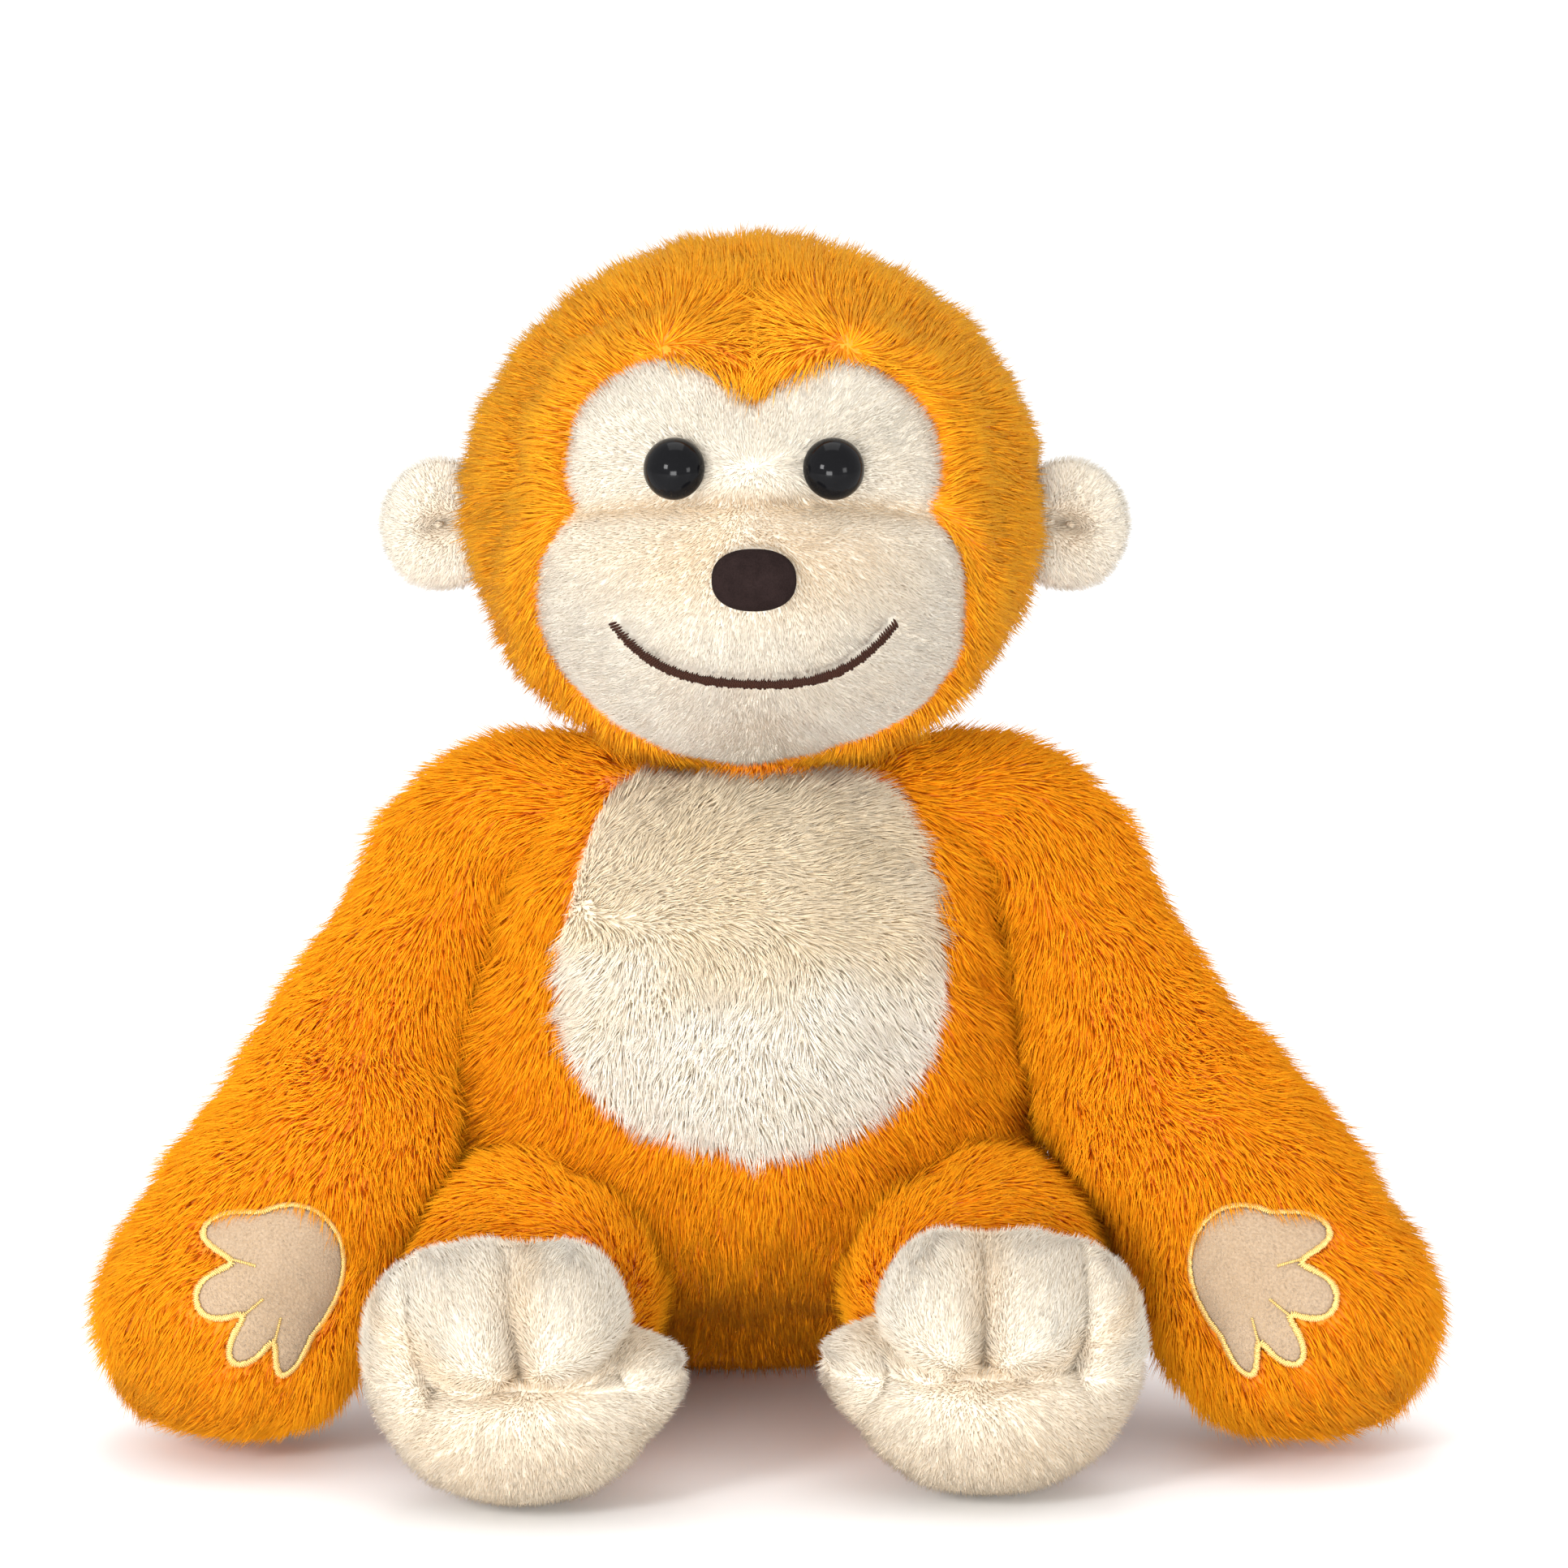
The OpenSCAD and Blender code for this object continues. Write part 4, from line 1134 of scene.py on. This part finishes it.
@dataclass
class Torso:
    """The pear-shaped torso with its cream bib, sitting on a flat seat.

    Attributes:
        centre: the point that the shape is measured from.
        tilt: how far the bib looks up, in degrees.
        edge: bearing and angle of the bib's edge, one half of it.
        inset: how far the backing lies under the pile's mean surface.
        neck_z: height above which the torso is pressed flat under the head.
    """

    centre: Array = field(default_factory=lambda: np.array([0.0, BODY_Y, 92.0]))
    tilt: float = 24.0
    edge: tuple = (
        (-90, 40.3), (-78, 38.3), (-58, 40.4), (-42, 43), (-28, 46), (-14, 47.3), (0, 48.8), (12, 50),
        (24, 50), (36, 50.5), (44, 52), (52, 55), (60, 58), (72, 56), (90, 54),
    )  # fmt: skip
    inset: float = 3.0
    neck_z: float = 163.0

    def bib_share(self, directions: Array) -> Array:
        """1 on the cream bib and 0 on the orange."""
        angle, bearing = polar_of(self.tilt, directions)
        return 1.0 - smooth_step(-1.0, 1.0, angle - half_outline(self.edge, bearing))

    def point(self, angle: Array, bearing: Array) -> Array:
        """A point of the torso's fabric.

        The reach is the twelfth-power mean of a belly ellipsoid and a chest ellipsoid, with the bib's seam
        pressed in. The seat is cut flat and drawn back, its front edge is lifted, the belly sags a little to
        the toy's right and the neck is kept under the head.
        """
        directions = polar(self.tilt, np.asarray(angle, float), np.asarray(bearing, float))
        belly = ray_out(self.centre, directions, np.array([0.0, BODY_Y, 74.0]), np.array([82.0, 59.0, 80.0]))
        chest_at = np.array([0.0, BODY_Y - 1.0, 124.0])
        chest = ray_out(self.centre, directions, chest_at, np.array([64.0, 47.0, 51.0]))
        out = (belly**12 + chest**12) ** (1.0 / 12.0) - self.inset
        off = np.asarray(angle, float) - half_outline(self.edge, bearing)
        out = out - 1.3 * bump(off, 2.6) + 0.9 * Drift(55.0, 72)(directions * 70.0)[..., 0]
        points = self.centre + directions * out[..., None]
        low = 3.2
        down = (low - self.centre[2]) / np.minimum(directions[..., 2], -1e-3)
        seat = self.centre + directions * down[..., None]
        points = np.where((points[..., 2] < low)[..., None], seat, points)
        height = points[..., 2]
        points[..., 1] += 32.0 * np.clip((62.0 - height) / 62.0, 0.0, 1.0) ** 2
        rise = smooth_step(46.0, 6.0, height) * smooth_step(BODY_Y + 2.0, BODY_Y - 34.0, points[..., 1])
        points[..., 2] = height + 12.0 * rise
        wide = 1.8 + 4.8 * smooth_step(42.0, 80.0, np.asarray(angle, float))
        points[..., 0] -= wide * smooth_step(150.0, 100.0, height)
        kept = self.neck_z + (height - self.neck_z) * 0.15
        points[..., 2] = np.where(height > self.neck_z, kept, height)
        return points

    def skin(self) -> Form:
        """The whole torso as one closed surface, from the bib's middle to the back."""
        return closed_ball(self.point, 96, 124, 1.5)

    def seat_share(self, points: Array) -> Array:
        """Shortens the pile that the toy sits on and under the head."""
        seat = smooth_step(3.4, 14.0, points[:, 2])
        middle = np.hypot(points[:, 0], points[:, 1] - BODY_Y)
        return (0.25 + 0.75 * seat) * np.where((points[:, 2] > 161.0) & (middle < 42.0), 0.4, 1.0)

    def coat_length(self, points: Array) -> Array:
        """Length of the orange pile."""
        return (1.0 - self.bib_share(unit(points - self.centre))) * self.seat_share(points)

    def bib_length(self, points: Array) -> Array:
        """Length of the cream pile."""
        return self.bib_share(unit(points - self.centre))

    def coat_comb(self, points: Array) -> Array:
        """The orange pile is brushed down and a little outwards."""
        return -UP + (points - self.centre) * (0.006, 0.0, 0.0)

    def bib_head_shadow(self, points: Array) -> Array:
        """The bib is darker towards its top: painted shadow of the head."""
        return 0.85 * smooth_step(100.0, 140.0, points[:, 2] + 6.0 * Drift(30.0, 75)(points)[:, 0])

    def bib_comb(self, points: Array) -> Array:
        """The bib is brushed down, and aslant across its top."""
        lift = smooth_step(118.0, 140.0, points[:, 2:])
        aslant = np.array([0.8, 0.0, 0.35])
        return -UP * (1.0 - 0.7 * lift) + aslant * lift + (points - self.centre) * (0.008, 0.0, 0.0)

    def build(self) -> None:
        """Makes the torso's pieces and lets them ride on it."""
        skin = self.skin()
        skin.marks["panel"] = self.bib_share(unit(skin.points - self.centre))
        cloth = make_piece("torso_skin", skin, TORSO_BACKING)
        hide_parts("torso_cover", "torso_filling", "seat_panel", "back_closing_stitches")
        coat = grown(skin, COAT, self.coat_comb, self.coat_length, 201)
        pieces = [cloth]
        for side in Side:
            part = strands_where(coat, lambda p, s=side: p[:, 0] * s.value >= 0.0)
            pieces.append(make_piece(f"torso_pile_{side.label}", part, ORANGE_FUR))
        bib = grown(skin, BIB, self.bib_comb, self.bib_length, 231, self.bib_head_shadow)
        piece = make_piece("bib_pile", bib, BIB_FUR)
        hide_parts("belly_panel")
        pieces.append(piece)
        for piece in pieces:
            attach(piece, "torso")
        dress_node("seat_bean_bag", BAG_CLOTH)


@dataclass
class Neck:
    """The short plush roll between torso and head, round the ball that the head turns on.

    Attributes:
        centre: its middle.
        radius: its radius.
        height: half its height.
    """

    centre: Array = field(default_factory=lambda: np.array([0.0, BODY_Y, 168.0]))
    radius: float = 23.0
    height: float = 7.5

    def skin(self) -> Form:
        """A thick disc with a round edge: radius r sqrt(sin t) at height h cos t."""
        t, f = np.meshgrid(np.linspace(0.06, np.pi - 0.06, 24), np.arange(72) * np.pi / 36.0, indexing="ij")
        out = self.radius * np.sqrt(np.sin(t))
        rows = self.centre + np.stack([out * np.cos(f), out * np.sin(f), self.height * np.cos(t)], -1)
        return capped_grid(rows, self.centre + UP * self.height, self.centre - UP * self.height)

    def build(self) -> None:
        """Makes the roll and its pile, which ride on the neck's body."""
        skin = self.skin()
        cloth = make_piece("neck_roll", skin, ORANGE_BACKING)
        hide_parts("neck_filling", "neck_seam_thread")
        pile = grown(skin, COAT, lambda p: np.tile(-UP, (len(p), 1)), lambda p: np.full(len(p), 0.6), 251)
        fur = make_piece("neck_pile", pile, ORANGE_FUR)
        for piece in (cloth, fur):
            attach(piece, "neck")


# ---------- arms ----------


@dataclass
class Arm:
    """A long arm that widens into a round hand with an embroidered palm.

    Attributes:
        side: which arm it is.
        line: the arm's line from the shoulder to the hand, on the left side.
        radii: its radius at each of those points.
        spread: how much further in the left arm's line runs at each of them, and the right arm's further out.
        palm_dir: where the palm looks, from the hand's centre.
        outline: bearing and reach of the palm patch: heel, thumb and three fingers.
        inset: how far the backing lies under the pile's mean surface.
    """

    STEPS = 84

    side: Side
    line: tuple = (
        (42, BODY_Y + 5, 151), (60.5, BODY_Y + 5, 148.5), (72.5, BODY_Y + 5, 137), (83, BODY_Y, 116),
        (97, BODY_Y - 15, 89), (112, BODY_Y - 34, 66), (133.5, BODY_Y - 52, 35.4),
    )  # fmt: skip
    radii: tuple = (20.0, 22.0, 23.5, 25.5, 29.0, 33.5, 35.5)
    spread: tuple = (0.0, 0.0, 0.0, 0.0, 0.5, -3.0, -3.0)
    palm_dir: tuple[float, float, float] = (-0.41, -0.79, 0.46)
    outline: tuple = (
        (0, 15), (40, 15.5), (80, 17), (100, 17.5), (110, 20.5), (120, 24.5), (130, 26.5), (140, 25),
        (150, 14), (160, 17), (170, 23), (180, 25), (190, 25), (200, 22), (210, 13), (220, 24), (230, 27.5),
        (240, 24), (250, 14.5), (260, 27), (270, 25), (280, 20), (290, 16.5), (320, 15), (360, 15),
    )  # fmt: skip
    inset: float = 3.0

    def __post_init__(self) -> None:
        """Shifts the line in or out a little by its side, and finds the girths and the axes of the palm."""
        path = np.array(self.line, float)
        path[:, 0] -= np.array(self.spread) * self.side.value
        self.line = path
        self.hand = path[-1]
        self.elbow = path[4]
        self.centres = curve_through(path, self.STEPS)
        self.girths = curve_through([(r,) for r in self.radii], self.STEPS)[:, 0] - self.inset
        self.palm_n = unit(np.array(self.palm_dir))
        self.palm_u = unit(np.cross(self.palm_n, UP))
        self.palm_v = np.cross(self.palm_u, self.palm_n)
        self.hand_dir = unit(self.hand - np.array(self.line[-2], float))

    def skin(self) -> Form:
        """A tube along the arm's line: a ball at the shoulder, and at the other end the hand's ball."""
        centres, radii = self.centres, self.girths
        start = unit(centres[1] - centres[0])
        turn = np.radians(np.linspace(0, 82, 14))[:, None]
        head_cap = centres[0] - start * radii[0] * np.cos(turn)
        tail_cap = centres[-1] + self.hand_dir * radii[-1] * np.sin(turn[1:] * 90.0 / 82.0)
        line = np.vstack([head_cap, centres, tail_cap])
        tail_girth = radii[-1] * np.cos(turn[1:, 0] * 90.0 / 82.0)
        girth = np.concatenate([radii[0] * np.sin(turn[:, 0]), radii, tail_girth])
        form = swept(line, girth, np.array([0.0, 1.0, 0.0]), 84)
        lumps = Drift(48.0, 73)(form.points) * 0.7
        form.points = form.points + lumps * (np.abs(form.points[:, :1] - 63.0) > 12.0)
        form.points[:, 2] = np.maximum(form.points[:, 2], 3.4)
        return form.outward()

    def palm_outline(self, bearing: Array) -> Array:
        """Reach of the palm patch at a bearing, in millimetres, with slightly rounded corners."""
        table = np.array(self.outline, float)
        spread = [np.interp((bearing + d) % 360.0, table[:, 0], table[:, 1]) for d in (-4, -2, 0, 2, 4)]
        return sum(spread) / len(spread)

    def palm_place(self, points: Array) -> tuple[Array, Array]:
        """Reach, in millimetres, and bearing of points about the palm's middle."""
        d = unit(points - self.hand)
        reach = np.arccos(np.clip(d @ self.palm_n, -1.0, 1.0)) * self.radii[-1]
        return reach, np.degrees(np.arctan2(d @ self.palm_v, d @ self.palm_u)) % 360.0

    def palm_point(self, reach: Array, bearing: Array, lift: float) -> Array:
        """A point on the palm: where a ray from the hand's middle leaves the row of balls along the arm."""
        a = (reach / self.radii[-1])[..., None]
        f = np.radians(bearing)[..., None]
        d = self.palm_n * np.cos(a) + (self.palm_u * np.cos(f) + self.palm_v * np.sin(f)) * np.sin(a)
        gaps = self.centres - self.hand
        along = d @ gaps.T
        inside = along**2 + self.girths**2 - np.sum(gaps * gaps, axis=1)
        out = np.max(np.where(inside > 0.0, along + np.sqrt(np.maximum(inside, 0.0)), 0.0), axis=-1)
        return self.hand + d * (out + 0.7 + lift)[..., None]

    def palm(self) -> Form:
        """The velour patch: a thin crowned cushion inside the outline."""
        share, bearing = np.meshgrid(np.linspace(0.06, 1.0, 20), np.arange(0.0, 360.0, 2.0), indexing="ij")
        reach = share * self.palm_outline(bearing)
        crown = 1.1 - 0.9 * share**6
        top = self.palm_point(reach, bearing, 0.0) + self.palm_n * crown[..., None]
        under = self.palm_point(reach[::-1], bearing[::-1], -1.2)
        middle = np.array(0.0)
        first = self.palm_point(middle, middle, 0.0) + self.palm_n * 1.1
        return capped_grid(np.vstack([top, under]), first, self.palm_point(middle, middle, -1.2))

    def edging(self) -> Form:
        """Gold satin stitches across the patch's outline, and short runs between the fingers."""
        rng = np.random.default_rng(23)
        fine = np.linspace(0.0, 360.0, 3600, endpoint=False)
        line = self.palm_point(self.palm_outline(fine), fine, 0.7)
        run = np.concatenate([[0.0], np.cumsum(np.linalg.norm(np.diff(line, axis=0), axis=1))])
        places = np.arange(0.0, run[-1], 0.5)
        line = np.stack([np.interp(places, run, line[:, k]) for k in range(3)], -1)
        parts = [self._stitches(line, 2.0, 0.62, rng)]
        for valley in (150.0, 210.0, 250.0):
            tip = self.palm_outline(np.array(valley))
            reach = np.linspace(tip, tip - 6.5, 14)
            inner = self.palm_point(reach, np.full(14, valley), 1.2)
            parts.append(self._stitches(inner, 0.9, 0.5, rng))
        return joined(parts)

    def _stitches(self, line: Array, width: float, thick: float, rng: np.random.Generator) -> Form:
        """Stitches that cross a line on the palm."""
        along = unit(np.gradient(line, axis=0))
        normals = unit(line - self.hand)
        across = unit(np.cross(normals, along) + along * 0.3)
        return spindles(line, across, normals, width * rng.uniform(0.85, 1.2, len(line)), thick)

    def coat_length(self, points: Array) -> Array:
        """Length of the pile: none under the palm patch, short round it and below the hand."""
        reach, bearing = self.palm_place(points)
        off = reach - self.palm_outline(bearing)
        near = np.linalg.norm(points - self.hand, axis=1) < self.radii[-1] + 6.0
        palm = np.where(near, smooth_step(0.0, 1.0, off) * (0.5 + 0.5 * smooth_step(0.0, 7.0, off)), 1.0)
        return palm * (0.4 + 0.6 * smooth_step(3.5, 14.0, points[:, 2]))

    def comb(self, points: Array) -> Array:
        """The pile is brushed down the arm."""
        gaps = points[:, None] - self.centres[None]
        nearest = np.argmin(np.sum(gaps * gaps, axis=-1), axis=1)
        return unit(np.gradient(self.centres, axis=0))[nearest] + (points - self.hand) * (0.006, 0.0, 0.0)

    def build(self) -> None:
        """Makes the arm's pieces: skin and pile stay where they are made, the palm's pieces ride on the
        forearm and the stitches on the shoulder's seam.
        """
        name = self.side.label
        mirror = np.array([self.side.value, 1.0, 1.0])
        skin = self.skin()
        cloth = make_piece(f"{name}_arm_skin", skin.on_side(self.side), ORANGE_BACKING)
        nodes = ("upper_arm_cover", "upper_arm_filling", "forearm_cover", "forearm_filling")
        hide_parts(*(f"{name}_{n}" for n in nodes))
        pile = grown(skin, COAT, self.comb, self.coat_length, 301)
        fur = make_piece(f"{name}_arm_pile", pile.on_side(self.side), ORANGE_FUR)
        before = unit(self.elbow - self.line[3])
        after = unit(self.line[5] - self.elbow)
        start = (self.elbow - before * 22.0) * mirror * MM
        end = (self.elbow + after * 18.0) * mirror * MM
        for piece in (cloth, fur):
            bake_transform(piece)
        palm = self.palm()
        patch = make_piece(f"{name}_palm", palm.on_side(self.side), PALM_BACKING)
        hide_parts(f"{name}_palm_patch")
        nap = grown(palm, VELOUR, lambda p: np.tile(-UP, (len(p), 1)), self.nap_length, 331)
        velour = make_piece(f"{name}_palm_pile", nap.on_side(self.side), VELOUR_PILE)
        edging = self.edging().on_side(self.side)
        edging = make_piece(f"{name}_palm_stitches", edging, GOLD_THREAD)
        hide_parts(f"{name}_palm_edging")
        for piece in (patch, velour, edging):
            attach(piece, f"{name}_forearm")
        seam = self.seam().on_side(self.side)
        seam = make_piece(f"{name}_shoulder_stitches", seam, ORANGE_THREAD)
        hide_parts(f"{name}_shoulder_thread")
        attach(seam, f"{name}_shoulder_seam")

    def seam(self) -> Form:
        """Hand-sewn stitches round the shoulder's ball, in a ring square to X."""
        t = np.linspace(0.0, 2.0 * np.pi, 40, endpoint=False)
        ring = np.stack([np.zeros(40), np.cos(t), np.sin(t)], -1)
        centres = self.line[1] + ring * 13.4 - (11.2, 0.0, 0.0)
        normals = unit(centres - self.line[1])
        along = flatten(np.cross(ring, (1.0, 0.0, 0.0)) + (0.6, 0.0, 0.0), normals)
        return spindles(centres, along, normals, np.full(40, 3.0), 0.9)

    def nap_length(self, points: Array) -> Array:
        """The velour stands on the patch's outer face only."""
        under = self.palm_point(*self.palm_place(points), -0.6)
        reach, base = (np.linalg.norm(p - self.hand, axis=1) for p in (points, under))
        return (reach > base).astype(float)


# ---------- legs and feet ----------


@dataclass
class Leg:
    """A short leg that comes out of the torso and ends in the foot.

    Attributes:
        side: which leg it is.
        hip: centre of the hip, on the left side.
        ankle: centre of the ankle.
        inset: how far the backing lies under the pile's mean surface.
    """

    side: Side
    hip: tuple = (56.5, BODY_Y - 36.0, 43.0)
    ankle: tuple = (56.0, BODY_Y - 82.0, 37.0)
    inset: float = 4.0

    def skin(self) -> Form:
        """A tube from hip to ankle, widest near the hip, with round ends."""
        hip, ankle = np.array(self.hip), np.array(self.ankle)
        t = np.linspace(0.0, 1.0, 54)
        run = np.linspace(-0.5, 1.28, 54)
        centres = hip + (ankle - hip) * run[:, None]
        girth = np.interp(run, [-0.5, 0.1, 0.45, 0.8, 1.28], [30.0, 35.0, 35.0, 30.0, 24.0]) - self.inset
        ends = np.sqrt(np.clip(1.0 - np.abs(2.0 * t - 1.0) ** 7, 0.0, 1.0))
        form = swept(centres, girth * ends, UP, 80)
        form.points = form.points + Drift(40.0, 74)(form.points) * 0.7
        form.points[:, 2] = np.maximum(form.points[:, 2], 3.4)
        return form.outward()

    def comb(self, points: Array) -> Array:
        """The pile is brushed round the leg, outwards over its top, and a little ahead."""
        gap = points - self.hip
        return np.stack([gap[:, 2], np.full(len(points), -12.0), -gap[:, 0]], -1)

    def build(self) -> None:
        """Makes the leg and lets it ride on its body."""
        name = self.side.label
        skin = self.skin()
        cloth = make_piece(f"{name}_leg_skin", skin.on_side(self.side), ORANGE_BACKING)
        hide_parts(f"{name}_leg_cover", f"{name}_leg_filling")
        pile = grown(
            skin,
            COAT,
            self.comb,
            lambda p: 0.85 * (0.4 + 0.6 * smooth_step(3.5, 14.0, p[:, 2])) * (p[:, 1] < BODY_Y - 8.0),
            401,
        )
        fur = make_piece(f"{name}_leg_pile", pile.on_side(self.side), ORANGE_FUR)
        for piece in (cloth, fur):
            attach(piece, f"{name}_leg")


@dataclass
class Foot:
    """A broad foot whose sole faces ahead: a heel, a big toe inside, two curled toes and an outer toe.

    Attributes:
        side: which foot it is.
        roll: how far the toes lean outwards, in degrees.
        back: how far the foot is drawn back, in millimetres.
        centre: its middle, on the left side.
        half: half width, depth and height.
        outline: bearing and share of the half sizes that its outline reaches.
        inset: how far the backing lies under the pile's mean surface.
    """

    side: Side
    roll: float = 0.0
    back: float = 0.0
    centre: Array = field(default_factory=lambda: np.array([56.0, BODY_Y - 105.0, 35.3]))
    half: Array = field(default_factory=lambda: np.array([42.0, 23.0, 35.0]))
    outline: tuple = (
        (0, 1.0), (14, 1.04), (28, 1.1), (42, 1.13), (54, 1.11), (61, 1.05), (72, 1.02), (84, 0.95),
        (94, 0.95), (104, 1.01), (118, 0.97), (128, 0.88), (138, 0.79), (150, 0.7), (158, 0.67), (164, 0.8),
        (171, 0.93), (180, 0.96), (192, 0.95), (214, 0.88), (232, 0.93), (250, 0.98), (280, 1.02),
        (306, 1.02), (330, 0.99), (360, 1.0),
    )  # fmt: skip
    inset: float = 2.6

    def relief(self, x: Array, z: Array) -> Array:
        """How far the sole stands out at a place, in millimetres: toes as rounded blocks with creases."""
        toes = 0.0
        for cx, cz, wide, tall, out in (
            (-12.0, 16.5, 15.0, 18.5, 13.0), (12.5, 17.0, 14.0, 18.5, 12.5), (33.5, 8.0, 10.0, 24.0, 6.5),
            (-34.0, -1.0, 11.0, 13.0, 6.0), (2.0, -18.0, 37.0, 22.0, 7.0),
        ):  # fmt: skip
            square = (np.abs((x - cx) / wide) ** 2.1) + (np.abs((z - cz) / tall) ** 2.1)
            toes = np.maximum(toes, out * np.clip(1.0 - square, 0.0, 1.0) ** 0.55)
        across = z - 1.0 - 0.011 * x * x
        creases = 5.0 * bump(across, 4.0) * smooth_step(29.0, 19.0, np.abs(x + 1.0))
        upright = smooth_step(-3.0, 3.0, z)
        creases = np.maximum(creases, 5.0 * bump(x - 1.0 - 0.06 * z, 4.2) * upright)
        creases = np.maximum(creases, 3.5 * bump(x - 23.0, 4.0) * upright)
        fold = (x + 25.0) * 0.5 + (z - 6.0) * 0.86
        creases = np.maximum(creases, 5.0 * bump(fold, 3.8) * smooth_step(-18.0, -26.0, x))
        return toes - creases

    def point(self, angle: Array, bearing: Array) -> Array:
        """A point of the foot's fabric: a puffed ellipsoid inside the outline, plus the relief in front."""
        table = np.array(self.outline, float)
        spread = [np.interp((bearing + d) % 360.0, table[:, 0], table[:, 1]) for d in (-3, 0, 3)]
        out = sum(spread) / len(spread)
        a, f = np.radians(angle), np.radians(bearing)
        x = np.sin(a) * np.cos(f) * out * (self.half[0] - self.inset)
        z = np.sin(a) * np.sin(f) * out * (self.half[2] - self.inset)
        depth = np.cos(a) * (self.half[1] - self.inset)
        tilt = np.radians(self.roll)
        u, w = x * np.cos(tilt) - z * np.sin(tilt), x * np.sin(tilt) + z * np.cos(tilt)
        ahead = smooth_step(95.0, 72.0, angle)
        y = -depth - self.relief(u, w) * ahead
        points = self.centre + np.stack([x, y + self.back, z], -1)
        points[..., 2] = np.maximum(points[..., 2], 2.4)
        return points

    def skin(self) -> Form:
        """The foot as one closed surface, from the sole's middle to the instep."""
        return closed_ball(self.point, 150, 170, 1.2)

    def build(self) -> None:
        """Makes the foot and lets it ride on its body."""
        name = self.side.label
        skin = self.skin()
        cloth = make_piece(f"{name}_foot_skin", skin.on_side(self.side), CREAM_BACKING)
        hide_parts(f"{name}_foot_cover", f"{name}_foot_filling", f"{name}_toe_stitches")
        pile = grown(skin, SOLE, self.comb, self.pile_length, 501, self.dye)
        fur = make_piece(f"{name}_foot_pile", pile.on_side(self.side), CREAM_FUR)
        for piece in (cloth, fur):
            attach(piece, f"{name}_foot")

    def comb(self, points: Array) -> Array:
        """The toes are brushed up and the heel down and out."""
        away = (points - self.centre) * (0.03, 0.0, 0.03)
        return away + UP * np.where(points[:, 2:] > self.centre[2], 0.5, -0.2)

    def dye(self, points: Array) -> Array:
        """The foot is warmer towards the heel, and in its creases, where it is painted shade."""
        x, z = points[:, 0] - self.centre[0], points[:, 2] - self.centre[2]
        folds = bump(x - 1.0, 5.0) * smooth_step(-3.0, 3.0, z) + bump(z - 1.0 - 0.011 * x * x, 5.0)
        # The fold terms are painted shade in the creases between the toes.
        return np.minimum(0.5 * smooth_step(50.0, 12.0, points[:, 2]) + 0.5 * folds + 0.12, 1.0)

    def pile_length(self, points: Array) -> Array:
        """Length of the pile, short beneath the foot."""
        return 0.45 + 0.55 * smooth_step(2.6, 10.0, points[:, 2])


# ---------- stage ----------


@dataclass
class Stage:
    """The pale floor, the soft lamps and the camera.

    Attributes:
        target: the point that the camera looks at, in metres.
        distance: from the camera to it.
        elevation: how far the camera looks down, in degrees.
        lens: focal length, in millimetres.
    """

    target: tuple[float, float, float] = (0.0074, 0.0337, 0.1585)
    distance: float = 3.5
    elevation: float = 14.0
    lens: float = 317.5

    def camera(self) -> None:
        """Stands the camera in front of the toy."""
        data = bpy.data.cameras.new("camera")
        data.lens = self.lens
        data.sensor_width = 36.0
        camera = bpy.data.objects.new("camera", data)
        bpy.context.scene.collection.objects.link(camera)
        tilt = np.radians(self.elevation)
        back = Vector((0.0, -np.cos(tilt), np.sin(tilt)))
        camera.location = Vector(self.target) + back * self.distance
        camera.rotation_euler = (-back).to_track_quat("-Z", "Y").to_euler()
        bpy.context.scene.camera = camera

    def floor(self) -> None:
        """Lays a wide floor with a faint mottle."""
        mesh = bpy.data.meshes.new("floor")
        half = 12.0
        corners = [(-half, -half, 0.0), (half, -half, 0.0), (half, half, 0.0), (-half, half, 0.0)]
        mesh.from_pydata(corners, [], [(0, 1, 2, 3)])
        shader = Shader("floor")
        mottle = shader.noise(3.0, 2.0)
        finish = {
            "Base Color": shader.mixed(mottle, (0.93, 0.93, 0.93), (0.95, 0.95, 0.95)),
            "Roughness": (0.55 + 0.1 * mottle).clamped(),
            "Specular IOR Level": 0.2,
        }
        mesh.materials.append(shader.finished(finish))
        floor = bpy.data.objects.new("floor", mesh)
        bpy.context.scene.collection.objects.link(floor)

    def lamp(self, name: str, place: Sequence[float], size: float, power: float) -> None:
        """Hangs a square soft lamp that faces the toy's middle."""
        data = bpy.data.lights.new(name, "AREA")
        data.shape = "SQUARE"
        data.size = size
        data.energy = power
        lamp = bpy.data.objects.new(name, data)
        lamp.location = place
        aim = Vector((0.0, 0.02, 0.16)) - Vector(place)
        lamp.rotation_euler = aim.to_track_quat("-Z", "Y").to_euler()
        bpy.context.scene.collection.objects.link(lamp)

    def build(self) -> None:
        """Sets up the camera, the floor, the lamps and the sky."""
        self.camera()
        self.floor()
        self.lamp("key", (-1.25, -1.7, 0.95), 0.5, 25.0)
        self.lamp("fill", (1.5, -1.5, 0.5), 0.5, 9.0)
        self.lamp("low", (-0.3, -2.0, 0.1), 0.7, 38.0)
        self.lamp("top", (0.0, 0.4, 1.9), 1.2, 10.0)
        world = bpy.data.worlds.new("sky")
        world.use_nodes = True
        sky = world.node_tree.nodes["Background"]
        sky.inputs["Color"].default_value = (1.0, 1.0, 1.0, 1.0)
        sky.inputs["Strength"].default_value = 1.1
        bpy.context.scene.world = world
        bpy.context.scene.view_settings.view_transform = "Standard"


def main() -> None:
    """Builds the stage and the toy's sub-assemblies."""
    logging.basicConfig(level=logging.INFO, format="%(message)s")
    Stage().build()
    Head().build()
    Torso().build()
    Neck().build()
    for side in Side:
        Ear(side).build()
        Arm(side).build()
        Leg(side).build()
        Foot(side, roll=8.0 if side is Side.RIGHT else 0.0, back=9.0 if side is Side.LEFT else 0.0).build()


if __name__ == "__main__":
    main()
